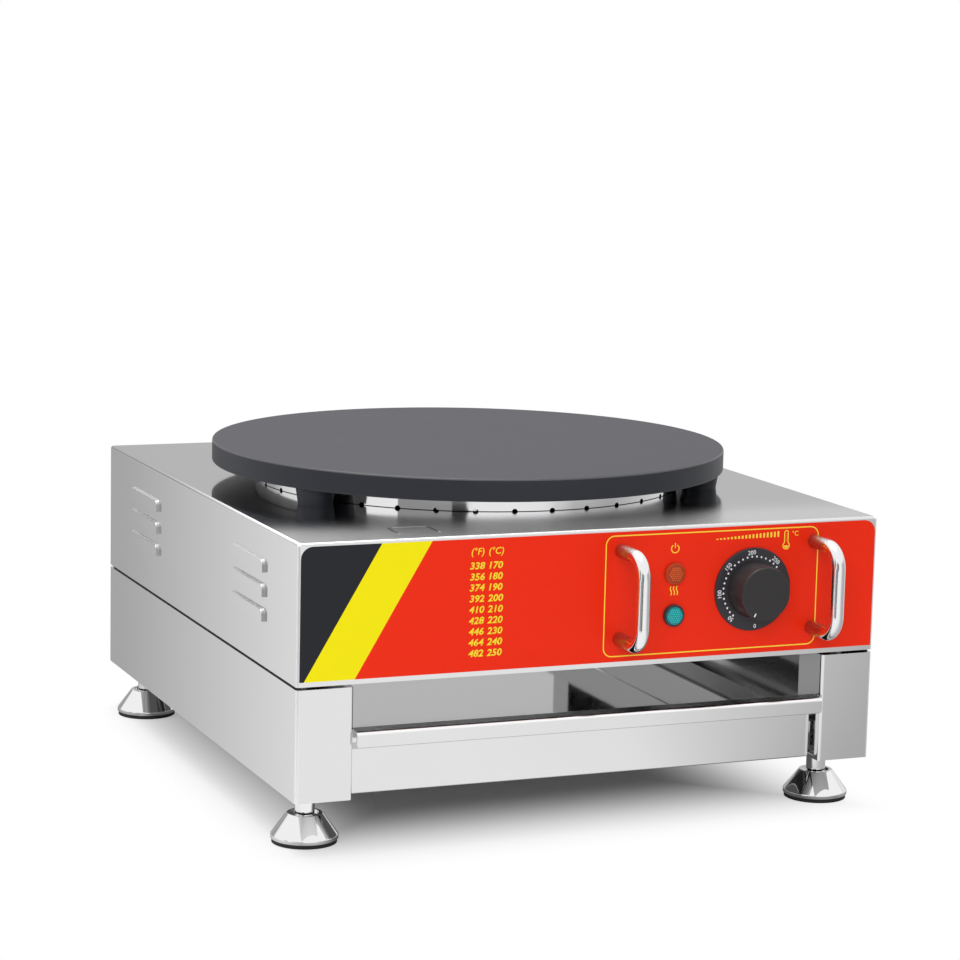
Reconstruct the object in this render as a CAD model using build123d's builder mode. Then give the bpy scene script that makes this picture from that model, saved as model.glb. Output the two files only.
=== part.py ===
from build123d import *
import os
from math import atan2, cos, degrees, radians, sin

# Electric crepe maker: a cast iron plate over two ring elements, carried by a folded
# stainless housing, on a chassis of two C-shaped side panels with a drawer between them.
# Millimetres. X runs to the right, Y to the back and Z up. The worktop is Z = 0 and the
# origin is the middle of the footprint, handles and cable gland included.

os.makedirs("parts", exist_ok=True)

# ---------------------------------------------------------------- driving dimensions

# Housing and chassis
housing_width = 450.0
housing_depth = 484.0
housing_height = 100.0
housing_sheet = 1.2
fold_radius = 2.2
vent_count = 5
vent_pitch = 45.0
vent_row_spacing = 120.0
vent_length = 60.0
vent_width = 5.0
flange_width = 20.0
chassis_height = 80.0
chassis_sheet = 1.5
chassis_fold_radius = 2.5
floor_clearance = 38.0
shadow_gap = 2.0
post_width = 42.0
post_return = 34.0

# Cooking plate
plate_diameter = 400.0
plate_thickness = 17.0
plate_offset_y = 8.0
plate_edge_round = 1.6
plate_leg_height = 12.5
plate_leg_top_radius = 15.0
plate_leg_foot_radius = 13.0
plate_leg_circle = 182.0
plate_leg_count = 3
plate_boss_radius = 14.0
stud_radius = 3.0
stud_depth = 14.0

# Heat shield ring and the dish under the plate
ring_radius = 166.0
ring_sheet = 1.0
ring_gap = 0.5
notch_radius = 2.2
notch_count = 36
dish_flange = 10.0
dish_ring_gap = 7.0
dish_sheet = 0.8
dish_depth = 38.0
dish_bottom_round = 4.0
insulation_thickness = 20.0

# Heating elements
element_tube_radius = 4.0
element_radii = (130.0, 75.0)
element_gap_angle = 16.0
element_leg_length = 60.0
element_pin_radius = 2.0
element_pin_length = 9.0
leg_clearance = 0.8
clamp_sheet = 2.0
clamp_arm_width = 16.0
clamp_reach = 140.0
clamp_bolt_radius = 4.0
clamp_bolt_depth = 6.0
clamp_bolt_head_radius = 7.5

# Front overlay and what is mounted through it
overlay_thickness = 0.4
overlay_side_margin = 2.0
overlay_bottom_margin = 3.5
overlay_top_margin = 2.4
overlay_corner = 9.0
handle_rod_radius = 5.0
handle_stand_off = 38.0
handle_bend_radius = 15.0
handle_foot_spacing = 64.0
handle_mid_z = 172.0
handle_left_from_side = 208.0
handle_right_from_side = 53.0
handle_tap_depth = 10.0
lamp_from_side = 165.5
power_lamp_z = 185.5
heat_lamp_z = 155.0
lamp_barrel_radius = 6.0
lamp_barrel_length = 22.0
lamp_bezel_radius = 8.0
lamp_bezel_height = 3.0
lamp_lens_radius = 6.5
lamp_lens_seat = 1.5
lamp_lens_crown = 1.2
lamp_bezel_chamfer = 0.8
lamp_clip_radius = 8.5
lamp_clip_thickness = 1.2
panel_hole_clearance = 0.1

# Thermostat
knob_from_side = 102.5
knob_z = 171.0
dial_radius = 30.5
dial_bore_radius = 18.5
dial_thickness = 2.0
dial_chamfer = 0.6
cap_base_radius = 20.5
cap_front_radius = 19.5
cap_length = 20.0
cap_gap = 0.5
cap_wall = 2.0
cap_edge_round = 1.4
cap_hub_radius = 6.0
shaft_radius = 3.0
shaft_flat = 1.0
shaft_running_clearance = 0.05
shaft_hole_clearance = 1.0
shaft_in_thermostat = 16.0
shaft_in_cap = 14.0
shaft_end_gap = 1.0
thermostat_width = 36.0
thermostat_tall = 40.0
thermostat_deep = 22.0
thermostat_screw_spacing = 28.0
thermostat_screw_head_radius = 3.5
thermostat_screw_head_height = 2.0
thermostat_screw_depth = 8.0
bulb_radius = 3.0
bulb_length = 80.0
bulb_circle = 101.0
capillary_radius = 1.0
capillary_lead = 18.0
capillary_bend = 8.0
bulb_clamp_length = 12.0
bulb_clamp_wall = 1.5

# Louvres in the side walls
louvre_length = 76.0
louvre_height = 9.5
louvre_bulge = 2.2
louvre_slope = 25.0
louvre_corner = 5.0
louvre_pitch = 17.6
louvre_rows = 3
louvre_column_offset = 133.5
louvre_top_drop = 23.0

# Drawer
drawer_sheet = 1.0
drawer_floor_z = 40.0
drawer_wall_height = 26.0
drawer_side_gap = 30.0
drawer_rim_gap = 3.5
drawer_fold_radius = 2.0
drawer_back_gap = 30.0
front_sheet = 1.2
front_recess = 11.0
front_side_gap = 3.0
front_end_return = 8.0
front_turn_in = 15.0
front_fold_radius = 1.6
lip_top_z = 87.0
lip_height = 11.5
lip_proud = 5.0
lip_side_gap = 1.0
lip_corner = 2.5
runner_sheet = 1.5
runner_gap = 0.3
runner_wall_gap = 4.0
runner_screw_head = 2.0
runner_web_height = 20.0
runner_front_gap = 10.0
runner_back_gap = 4.0

# Feet
foot_inset_x = 21.0
foot_inset_y = 40.0
foot_base_radius = 24.0
foot_top_radius = 12.5
foot_rim_height = 2.5
bell_top_z = 21.0
bell_rim_round = 1.5
bell_shoulder_round = 1.0
bell_recess_radius = 10.0
bell_recess_depth = 1.5
bell_wall = 2.5
bell_boss_wall = 3.0
pad_height = 3.0
pad_inset = 0.8
stem_radius = 7.2
stem_running_clearance = 0.05
stem_seat_gap = 0.2
stem_seat_z = 10.0
stem_engagement = 22.0
stem_tip_chamfer = 1.0
nut_plate_size = 34.0
nut_plate_thickness = 6.0

# Fasteners
bolt_radius = 3.0
bolt_head_radius = 5.5
bolt_head_height = 4.0
nut_height = 5.0
nut_flange_radius = 8.0
nut_flange_height = 1.5
bolt_end = 3.0
spacer_radius = 8.0
base_screw_tip = 4.0
screw_head_round = 1.4
screw_radius = 2.0
screw_head_radius = 4.0
screw_head_height = 2.4
hole_clearance = 0.3
housing_bolt_from_side = 13.2
housing_bolt_from_ends = 30.0
base_screw_from_side = 75.0

# Rear panel and supply
rear_panel_margin = 5.0
rear_window_margin = 22.0
gland_from_side = 75.0
gland_z = 168.0
gland_bore_radius = 5.0
gland_thread_radius = 8.0
gland_flange_radius = 12.0
gland_flange_height = 7.0
gland_reach = 24.0
gland_inner_length = 12.0
locknut_height = 5.0
gland_cap_radius = 10.0
gland_cap_round = 3.0
earth_stud_from_side = 40.0
earth_stud_z = 168.0
earth_stud_length = 22.0
terminal_length = 54.0
terminal_depth = 20.0
terminal_height = 18.0
terminal_back_gap = 40.0
terminal_ways = 7
terminal_well_radius = 2.6
terminal_well_depth = 6.0
terminal_tab_width = 6.3
terminal_tab_thickness = 0.8
terminal_tab_length = 8.0
wire_radius = 1.6
wire_lead = 14.0
wire_stagger = 5.0
wire_drop = 6.0
wire_bend = 8.0

# ---------------------------------------------------------------- levels and planes

chassis_bottom = floor_clearance
chassis_top = chassis_bottom + chassis_height
housing_bottom = chassis_top + shadow_gap
housing_top = housing_bottom + housing_height
base_floor = housing_bottom + housing_sheet
plate_bottom = housing_top + plate_leg_height
plate_top = plate_bottom + plate_thickness
dish_radius = ring_radius - ring_sheet - dish_ring_gap - dish_flange

handle_reach = overlay_thickness + handle_stand_off + handle_rod_radius
middle_y = (handle_reach - gland_reach) / 2
front_y = middle_y - housing_depth / 2
back_y = middle_y + housing_depth / 2
plate_y = middle_y + plate_offset_y
side_x = housing_width / 2
post_x = side_x - post_width
handle_left_x = side_x - handle_left_from_side
handle_right_x = side_x - handle_right_from_side
lamp_x = side_x - lamp_from_side
knob_x = side_x - knob_from_side
gland_x = side_x - gland_from_side
earth_stud_x = side_x - earth_stud_from_side
drawer_rim_z = drawer_floor_z + drawer_wall_height - drawer_sheet
runner_ledge_z = drawer_rim_z - runner_gap

# Sketch planes: on the front sheet, on the overlay, on the back sheet. Sketch X is X
# seen from the front, sketch Y is Z, and extrusion runs away from the housing.
front_face = Plane(origin=(0, front_y, 0), x_dir=(1, 0, 0), z_dir=(0, -1, 0))
overlay_face = Plane(origin=(0, front_y - overlay_thickness, 0), x_dir=(1, 0, 0), z_dir=(0, -1, 0))
inner_front_face = Plane(origin=(0, front_y + housing_sheet, 0), x_dir=(1, 0, 0), z_dir=(0, -1, 0))
back_face = Plane(origin=(0, back_y, 0), x_dir=(-1, 0, 0), z_dir=(0, 1, 0))

handle_foot_zs = (handle_mid_z - handle_foot_spacing / 2, handle_mid_z + handle_foot_spacing / 2)
handle_feet = [(x, z) for x in (handle_left_x, handle_right_x) for z in handle_foot_zs]
lamp_places = {"power_lamp": (lamp_x, power_lamp_z), "heat_lamp": (lamp_x, heat_lamp_z)}
thermostat_screw_places = [(knob_x - thermostat_screw_spacing / 2, knob_z),
                           (knob_x + thermostat_screw_spacing / 2, knob_z)]
plate_leg_angles = [90 + leg * 360 / plate_leg_count for leg in range(plate_leg_count)]
plate_leg_places = [(plate_leg_circle * cos(radians(a)), plate_y + plate_leg_circle * sin(radians(a)))
                    for a in plate_leg_angles]
housing_bolt_x = side_x - housing_bolt_from_side
housing_bolt_places = [(x, y) for x in (-housing_bolt_x, housing_bolt_x)
                       for y in (front_y + housing_bolt_from_ends, middle_y, back_y - housing_bolt_from_ends)]
base_screw_x = side_x - base_screw_from_side
base_screw_y = flange_width / 2
base_screw_places = [(x, y) for x in (-base_screw_x, 0, base_screw_x)
                     for y in (front_y + base_screw_y, back_y - base_screw_y)]
rear_screw_inset = (rear_panel_margin + rear_window_margin) / 2
rear_screw_x = side_x - rear_screw_inset
rear_screw_places = [(x, z) for x in (-rear_screw_x, 0, rear_screw_x)
                     for z in (housing_bottom + rear_screw_inset, housing_top - rear_screw_inset)]
foot_places = {"front_left": (-side_x + foot_inset_x, front_y + foot_inset_y),
               "front_right": (side_x - foot_inset_x, front_y + foot_inset_y),
               "back_left": (-side_x + foot_inset_x, back_y - foot_inset_y),
               "back_right": (side_x - foot_inset_x, back_y - foot_inset_y)}

# ---------------------------------------------------------------- housing

# The housing is one folded and corner-welded shell, open below, with a flange turned in
# round its lower edge and a service window in the back.
rear_window_width = housing_width - 2 * rear_window_margin
rear_window_height = housing_height - 2 * rear_window_margin
housing_mid_z = (housing_bottom + housing_top) / 2
dish_hole_radius = dish_radius + hole_clearance

louvre_columns = (middle_y - louvre_column_offset, middle_y + louvre_column_offset)
louvre_lower_edges = [housing_top - louvre_top_drop - louvre_height - row * louvre_pitch
                      for row in range(louvre_rows)]


def louvre_form(wall_plane):
    """The upper half of a low round-cornered frustum: its flanks are those of a pressed hood."""
    with BuildPart() as form:
        with BuildSketch(wall_plane):
            RectangleRounded(louvre_length, 2 * louvre_height, louvre_corner)
        extrude(amount=louvre_bulge, taper=louvre_slope)
        split(bisect_by=Plane(wall_plane.origin), keep=Keep.TOP)
    return form.part


with BuildPart() as housing_shell:
    with BuildSketch(Plane.XY.offset(housing_bottom)):
        with Locations((0, middle_y)):
            Rectangle(housing_width, housing_depth)
    extrude(amount=housing_height)
    fillet(housing_shell.edges().filter_by(Axis.Z), radius=fold_radius)
    fillet(housing_shell.faces().sort_by(Axis.Z)[-1].edges(), radius=fold_radius)
    offset(amount=-housing_sheet, openings=housing_shell.faces().sort_by(Axis.Z)[0])
    with BuildSketch(Plane.XY.offset(housing_bottom)):
        with Locations((0, middle_y)):
            RectangleRounded(housing_width - housing_sheet, housing_depth - housing_sheet,
                             fold_radius - housing_sheet / 2)
            Rectangle(housing_width - 2 * flange_width, housing_depth - 2 * flange_width,
                      mode=Mode.SUBTRACT)
    extrude(amount=housing_sheet)
    with BuildSketch(back_face):
        with Locations((0, housing_mid_z)):
            Rectangle(rear_window_width, rear_window_height)
        with Locations(*rear_screw_places):
            Circle(screw_radius)
    extrude(amount=-2 * housing_sheet, mode=Mode.SUBTRACT)
    with BuildSketch(Plane.XY.offset(housing_top)):
        with Locations((0, plate_y)):
            Circle(dish_hole_radius)
        with Locations(*plate_leg_places):
            Circle(stud_radius + hole_clearance)
    extrude(amount=-2 * housing_sheet, mode=Mode.SUBTRACT)
    with BuildSketch(front_face):
        with Locations(*handle_feet):
            Circle(screw_radius + hole_clearance)
        with Locations(*lamp_places.values()):
            Circle(lamp_barrel_radius + panel_hole_clearance)
        with Locations((knob_x, knob_z)):
            Circle(shaft_radius + shaft_hole_clearance)
        with Locations(*thermostat_screw_places):
            Circle(screw_radius)
    extrude(amount=-2 * housing_sheet, mode=Mode.SUBTRACT)
    with BuildSketch(Plane.XY.offset(housing_bottom)):
        with Locations(*housing_bolt_places):
            Circle(bolt_radius + hole_clearance)
        with Locations(*base_screw_places):
            Circle(screw_radius)
    extrude(amount=housing_sheet, mode=Mode.SUBTRACT)
    for side in (-1, 1):
        for louvre_y in louvre_columns:
            for louvre_z in louvre_lower_edges:
                wall = Plane(origin=(side * side_x, louvre_y, louvre_z), x_dir=(0, side, 0),
                             z_dir=(side, 0, 0))
                add(louvre_form(wall))
                add(louvre_form(wall.offset(-housing_sheet)), mode=Mode.SUBTRACT)

housing_shell.part.label = "housing_shell"
export_step(housing_shell.part, "parts/housing_shell.step")

# The base closes the housing from inside. It lies on the turned-in flange.
base_edge_gap = hole_clearance
with BuildPart() as base_plate:
    with BuildSketch(Plane.XY.offset(base_floor)):
        with Locations((0, middle_y)):
            RectangleRounded(housing_width - 2 * (housing_sheet + base_edge_gap),
                             housing_depth - 2 * (housing_sheet + base_edge_gap), fold_radius)
            with GridLocations(vent_pitch, vent_row_spacing, vent_count, 2):
                SlotOverall(vent_length, vent_width, rotation=90, mode=Mode.SUBTRACT)
        with Locations(*housing_bolt_places):
            Circle(bolt_radius + hole_clearance, mode=Mode.SUBTRACT)
        with Locations(*base_screw_places):
            Circle(screw_radius, mode=Mode.SUBTRACT)
    extrude(amount=housing_sheet)

base_plate.part.label = "base_plate"
export_step(base_plate.part, "parts/base_plate.step")

# Screws hang under the flange between the posts and pull the base down on it.
with BuildPart() as base_screws:
    with BuildSketch(Plane.XY.offset(housing_bottom)):
        with Locations(*base_screw_places):
            Circle(screw_head_radius)
    extrude(amount=-screw_head_height)
    fillet(base_screws.faces().sort_by(Axis.Z)[:len(base_screw_places)].edges(), radius=screw_head_round)
    with BuildSketch(Plane.XY.offset(housing_bottom)):
        with Locations(*base_screw_places):
            Circle(screw_radius)
    extrude(amount=2 * housing_sheet + base_screw_tip)

base_screws.part.label = "base_screws"
export_step(base_screws.part, "parts/base_screws.step")

# The rear panel covers the service window from outside.
rear_panel_width = housing_width - 2 * rear_panel_margin
rear_panel_height = housing_height - 2 * rear_panel_margin
rear_outer_face = back_face.offset(housing_sheet)
with BuildPart() as rear_panel:
    with BuildSketch(back_face):
        with Locations((0, housing_mid_z)):
            RectangleRounded(rear_panel_width, rear_panel_height, fold_radius)
        with Locations(*rear_screw_places):
            Circle(screw_radius, mode=Mode.SUBTRACT)
        with Locations((-gland_x, gland_z)):
            Circle(gland_thread_radius, mode=Mode.SUBTRACT)
        with Locations((-earth_stud_x, earth_stud_z)):
            Circle(bolt_radius, mode=Mode.SUBTRACT)
    extrude(amount=housing_sheet)

rear_panel.part.label = "rear_panel"
export_step(rear_panel.part, "parts/rear_panel.step")

with BuildPart() as rear_panel_screws:
    with BuildSketch(rear_outer_face):
        with Locations(*rear_screw_places):
            Circle(screw_head_radius)
    extrude(amount=screw_head_height)
    fillet(rear_panel_screws.faces().sort_by(Axis.Y)[-len(rear_screw_places):].edges(),
           radius=screw_head_round)
    with BuildSketch(rear_outer_face):
        with Locations(*rear_screw_places):
            Circle(screw_radius)
    extrude(amount=-2 * housing_sheet - base_screw_tip)

rear_panel_screws.part.label = "rear_panel_screws"
export_step(rear_panel_screws.part, "parts/rear_panel_screws.step")

# ---------------------------------------------------------------- chassis

# Each side of the chassis is a C in plan: a side wall, a post folded across the front
# and the back, and a return folded inwards. Flanges close it above and below.
chassis_outline = [(-post_x, front_y + post_return), (-post_x, front_y), (-side_x, front_y),
                   (-side_x, back_y), (-post_x, back_y), (-post_x, back_y - post_return)]
chassis_flange_width = post_width - chassis_sheet
runner_web_low = runner_ledge_z - runner_web_height
runner_screw_z = (runner_web_low + runner_ledge_z) / 2
runner_front_y = front_y + front_recess + runner_front_gap
runner_back_y = back_y - chassis_sheet - runner_back_gap
runner_screw_ys = (((runner_front_y + front_y + post_return) / 2), back_y - post_return / 2)
runner_screw_places = [(y, runner_screw_z) for y in runner_screw_ys]

with BuildPart() as chassis_left:
    with BuildSketch(Plane.XY.offset(chassis_bottom)):
        with BuildLine():
            FilletPolyline(*chassis_outline, radius=chassis_fold_radius)
            offset(amount=chassis_sheet, side=Side.RIGHT)
        make_face()
    extrude(amount=chassis_height)
    with BuildSketch(Plane.XY.offset(chassis_bottom), Plane.XY.offset(chassis_top - chassis_sheet)):
        with Locations((-side_x + chassis_sheet / 2, middle_y)):
            Rectangle(chassis_flange_width, housing_depth - chassis_sheet, align=(Align.MIN, Align.CENTER))
    extrude(amount=chassis_sheet)
    with BuildSketch(Plane.XY.offset(chassis_bottom)):
        with Locations(foot_places["front_left"], foot_places["back_left"]):
            Circle(stem_radius + hole_clearance)
    extrude(amount=chassis_sheet, mode=Mode.SUBTRACT)
    with BuildSketch(Plane.XY.offset(chassis_top)):
        with Locations(*housing_bolt_places[:3]):
            Circle(bolt_radius + hole_clearance)
    extrude(amount=-chassis_sheet, mode=Mode.SUBTRACT)
    with BuildSketch(Plane.YZ.offset(-post_x)):
        with Locations(*runner_screw_places):
            Circle(screw_radius)
    extrude(amount=-chassis_sheet, mode=Mode.SUBTRACT)

chassis_left.part.label = "chassis_left"
export_step(chassis_left.part, "parts/chassis_left.step")

with BuildPart() as chassis_right:
    mirror(chassis_left.part, about=Plane.YZ)

chassis_right.part.label = "chassis_right"
export_step(chassis_right.part, "parts/chassis_right.step")

# Washers keep the shadow gap between chassis and housing, and bolts tie them together.
with BuildPart() as housing_spacers:
    with BuildSketch(Plane.XY.offset(chassis_top)):
        with Locations(*housing_bolt_places):
            Circle(spacer_radius)
            Circle(bolt_radius, mode=Mode.SUBTRACT)
    extrude(amount=shadow_gap)

housing_spacers.part.label = "housing_spacers"
export_step(housing_spacers.part, "parts/housing_spacers.step")

housing_nut_z = base_floor + housing_sheet
with BuildPart() as housing_bolts:
    with BuildSketch(Plane.XY.offset(chassis_top - chassis_sheet)):
        with Locations(*housing_bolt_places):
            RegularPolygon(bolt_head_radius, 6)
    extrude(amount=-bolt_head_height)
    with BuildSketch(Plane.XY.offset(chassis_top - chassis_sheet)):
        with Locations(*housing_bolt_places):
            Circle(bolt_radius)
    extrude(amount=chassis_sheet + shadow_gap + 2 * housing_sheet + nut_height + bolt_end)

housing_bolts.part.label = "housing_bolts"
export_step(housing_bolts.part, "parts/housing_bolts.step")

with BuildPart() as housing_nuts:
    with BuildSketch(Plane.XY.offset(housing_nut_z)):
        with Locations(*housing_bolt_places):
            RegularPolygon(bolt_head_radius, 6)
            Circle(bolt_radius, mode=Mode.SUBTRACT)
    extrude(amount=nut_height)

housing_nuts.part.label = "housing_nuts"
export_step(housing_nuts.part, "parts/housing_nuts.step")

# ---------------------------------------------------------------- feet

# A square nut plate over each foot carries the thread of its stem.
with BuildPart() as foot_nut_plates:
    with BuildSketch(Plane.XY.offset(chassis_bottom + chassis_sheet)):
        with Locations(*foot_places.values()):
            RectangleRounded(nut_plate_size, nut_plate_size, fold_radius)
            Circle(stem_radius + stem_running_clearance, mode=Mode.SUBTRACT)
    extrude(amount=nut_plate_thickness)

foot_nut_plates.part.label = "foot_nut_plates"
export_step(foot_nut_plates.part, "parts/foot_nut_plates.step")

# Each foot is a hollow bell on a rubber pad, and a stem that turns in the bell's socket.
bell_rim_z = pad_height + foot_rim_height
bell_flank_run = (foot_base_radius - foot_top_radius) / (bell_top_z - bell_rim_z)
hollow_radius = foot_base_radius - bell_wall
hollow_top_z = bell_top_z - bell_recess_depth - bell_wall
hollow_top_radius = hollow_radius - (hollow_top_z - bell_rim_z) * bell_flank_run
boss_radius = stem_radius + bell_boss_wall
stem_top_z = chassis_bottom + stem_engagement
for place, (foot_x, foot_y) in foot_places.items():
    foot_section = Plane(origin=(foot_x, foot_y, 0), x_dir=(1, 0, 0), z_dir=(0, -1, 0))
    foot_axis = Axis((foot_x, foot_y, 0), (0, 0, 1))

    with BuildPart() as foot_bell:
        with BuildSketch(foot_section) as bell_outline:
            with BuildLine():
                Polyline((0, pad_height), (foot_base_radius, pad_height), (foot_base_radius, bell_rim_z),
                         (foot_top_radius, bell_top_z), (0, bell_top_z), close=True)
            flank = make_face()
            fillet(flank.vertices().group_by(Axis.X)[-1].sort_by(Axis.Y)[-1], radius=bell_rim_round)
            fillet(bell_outline.vertices().group_by(Axis.Y)[-1].sort_by(Axis.X)[-1],
                   radius=bell_shoulder_round)
            with BuildLine():
                Polyline((boss_radius, pad_height), (hollow_radius, pad_height),
                         (hollow_radius, bell_rim_z), (hollow_top_radius, hollow_top_z),
                         (boss_radius, hollow_top_z), close=True)
            make_face(mode=Mode.SUBTRACT)
        revolve(axis=foot_axis)
        with BuildSketch(Plane.XY.offset(bell_top_z)):
            with Locations((foot_x, foot_y)):
                Circle(stem_radius + stem_running_clearance)
        extrude(amount=stem_seat_z - bell_top_z, mode=Mode.SUBTRACT)
        with BuildSketch(Plane.XY.offset(bell_top_z)):
            with Locations((foot_x, foot_y)):
                Circle(bell_recess_radius)
        extrude(amount=-bell_recess_depth, mode=Mode.SUBTRACT)
    foot_bell.part.label = f"foot_bell_{place}"
    export_step(foot_bell.part, f"parts/foot_bell_{place}.step")

    with BuildPart() as foot_pad:
        with BuildSketch():
            with Locations((foot_x, foot_y)):
                Circle(foot_base_radius - pad_inset)
        extrude(amount=pad_height)
    foot_pad.part.label = f"foot_pad_{place}"
    export_step(foot_pad.part, f"parts/foot_pad_{place}.step")

    with BuildPart() as foot_stem:
        with BuildSketch(Plane.XY.offset(stem_seat_z + stem_seat_gap)):
            with Locations((foot_x, foot_y)):
                Circle(stem_radius)
        extrude(amount=stem_top_z - stem_seat_z - stem_seat_gap)
        chamfer(foot_stem.faces().sort_by(Axis.Z)[-1].edges(), length=stem_tip_chamfer)
    foot_stem.part.label = f"foot_stem_{place}"
    export_step(foot_stem.part, f"parts/foot_stem_{place}.step")

# ---------------------------------------------------------------- drawer

# The drawer's body is an open tray with a rim folded out along each side. The rims run
# in the runners.
drawer_half_width = post_x - drawer_side_gap
drawer_body_width = 2 * drawer_half_width
drawer_front_y = front_y + front_recess
drawer_body_front_y = drawer_front_y + front_sheet
drawer_body_back_y = back_y - drawer_back_gap
drawer_body_depth = drawer_body_back_y - drawer_body_front_y
drawer_body_mid_y = (drawer_body_front_y + drawer_body_back_y) / 2
drawer_rim_x = post_x - runner_sheet - drawer_rim_gap
with BuildPart() as drawer_tray:
    with BuildSketch(Plane.XY.offset(drawer_floor_z)):
        with Locations((0, drawer_body_mid_y)):
            Rectangle(drawer_body_width, drawer_body_depth)
    extrude(amount=drawer_wall_height)
    fillet(drawer_tray.faces().sort_by(Axis.Z)[0].edges(), radius=drawer_fold_radius)
    offset(amount=-drawer_sheet, openings=drawer_tray.faces().sort_by(Axis.Z)[-1])
    with BuildSketch(Plane.XY.offset(drawer_rim_z)):
        with Locations((0, drawer_body_mid_y)):
            Rectangle(2 * drawer_rim_x, drawer_body_depth)
            Rectangle(drawer_body_width - 2 * drawer_sheet, drawer_body_depth, mode=Mode.SUBTRACT)
    extrude(amount=drawer_sheet)

drawer_tray.part.label = "drawer_tray"
export_step(drawer_tray.part, "parts/drawer_tray.step")

# The front is one folded sheet: a turned-in lower edge under the tray, the panel, and a
# pull lip that stands proud of the posts and hangs down in front.
front_half_width = post_x - front_side_gap
lip_half_width = post_x - lip_side_gap
lip_path_y = front_y - lip_proud + front_sheet
front_path_top = lip_top_z - front_sheet
front_path_low = drawer_floor_z - front_sheet
with BuildPart() as drawer_front:
    with BuildSketch(Plane.YZ):
        with BuildLine():
            FilletPolyline((drawer_front_y + front_turn_in, front_path_low), (drawer_front_y, front_path_low),
                           (drawer_front_y, front_path_top), (lip_path_y, front_path_top),
                           (lip_path_y, lip_top_z - lip_height), radius=front_fold_radius)
            offset(amount=front_sheet, side=Side.RIGHT)
        make_face()
    extrude(amount=lip_half_width, both=True)
    fillet(drawer_front.edges().filter_by(Axis.Y).group_by(Axis.Y)[0], radius=lip_corner)
    with BuildSketch(Plane.XY.offset(lip_top_z - lip_height)):
        with Locations((-lip_half_width, drawer_front_y), (lip_half_width, drawer_front_y)):
            Rectangle(2 * (lip_half_width - front_half_width), 2 * (front_turn_in + front_sheet))
    extrude(amount=-lip_top_z, mode=Mode.SUBTRACT)
    with BuildSketch(Plane.XY.offset(drawer_floor_z)):
        with Locations((front_half_width, drawer_front_y)):
            Rectangle(front_sheet, front_end_return, align=(Align.MAX, Align.MIN))
        with Locations((-front_half_width, drawer_front_y)):
            Rectangle(front_sheet, front_end_return, align=(Align.MIN, Align.MIN))
    extrude(amount=lip_top_z - lip_height - drawer_floor_z)

drawer_front.part.label = "drawer_front"
export_step(drawer_front.part, "parts/drawer_front.step")

# A runner's web lies on the returns of both posts. Its ledge carries the drawer's rim
# and its upper flange stops the open drawer from tipping.
runner_length = runner_back_y - runner_front_y
runner_mid_y = (runner_back_y + runner_front_y) / 2
runner_reach = drawer_side_gap - runner_wall_gap
runner_top_z = runner_ledge_z + drawer_sheet + 2 * runner_gap
runner_section = Plane(origin=(0, runner_front_y, 0), x_dir=(-1, 0, 0), z_dir=(0, 1, 0))
with BuildPart() as runner_left:
    with BuildSketch(runner_section):
        with Locations((post_x, runner_web_low)):
            Rectangle(runner_sheet, runner_top_z + runner_sheet - runner_web_low,
                      align=(Align.MAX, Align.MIN))
        with Locations((post_x, runner_ledge_z)):
            Rectangle(runner_reach, runner_sheet, align=(Align.MAX, Align.MAX))
        with Locations((post_x, runner_top_z)):
            Rectangle(runner_reach, runner_sheet, align=(Align.MAX, Align.MIN))
    extrude(amount=runner_length)
    with BuildSketch(Plane.YZ.offset(-post_x)):
        with Locations(*runner_screw_places):
            Circle(screw_radius)
    extrude(amount=runner_sheet, mode=Mode.SUBTRACT)

runner_left.part.label = "runner_left"
export_step(runner_left.part, "parts/runner_left.step")

with BuildPart() as runner_right:
    mirror(runner_left.part, about=Plane.YZ)

runner_right.part.label = "runner_right"
export_step(runner_right.part, "parts/runner_right.step")

with BuildPart() as runner_screws:
    for side in (-1, 1):
        screw_plane = Plane(origin=(side * (post_x - runner_sheet), 0, 0), x_dir=(0, side, 0),
                            z_dir=(side, 0, 0))
        side_places = [(side * y, z) for y, z in runner_screw_places]
        with BuildSketch(screw_plane):
            with Locations(*side_places):
                Circle(screw_head_radius)
        extrude(amount=-runner_screw_head)
        with BuildSketch(screw_plane):
            with Locations(*side_places):
                Circle(screw_radius)
        extrude(amount=runner_sheet + chassis_sheet + base_screw_tip)

runner_screws.part.label = "runner_screws"
export_step(runner_screws.part, "parts/runner_screws.step")

# ---------------------------------------------------------------- cooking plate

# A cast disc on three tapered legs, with a boss under its middle for the clamp bolt.
boss_bottom = plate_bottom - 2 * element_tube_radius
with BuildPart() as crepe_plate:
    with BuildSketch(Plane.XY.offset(plate_bottom)):
        with Locations((0, plate_y)):
            Circle(plate_diameter / 2)
    extrude(amount=plate_thickness)
    fillet(crepe_plate.edges(), radius=plate_edge_round)
    with Locations(*[(x, y, plate_bottom) for x, y in plate_leg_places]):
        Cone(plate_leg_foot_radius, plate_leg_top_radius, plate_leg_height,
             align=(Align.CENTER, Align.CENTER, Align.MAX))
    with BuildSketch(Plane.XY.offset(plate_bottom)):
        with Locations((0, plate_y)):
            Circle(plate_boss_radius)
    extrude(amount=boss_bottom - plate_bottom)
    with BuildSketch(Plane.XY.offset(housing_top)):
        with Locations(*plate_leg_places):
            Circle(stud_radius)
    extrude(amount=stud_depth, mode=Mode.SUBTRACT)
    with BuildSketch(Plane.XY.offset(boss_bottom)):
        with Locations((0, plate_y)):
            Circle(clamp_bolt_radius)
    extrude(amount=clamp_bolt_depth, mode=Mode.SUBTRACT)

crepe_plate.part.label = "crepe_plate"
export_step(crepe_plate.part, "parts/crepe_plate.step")

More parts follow.
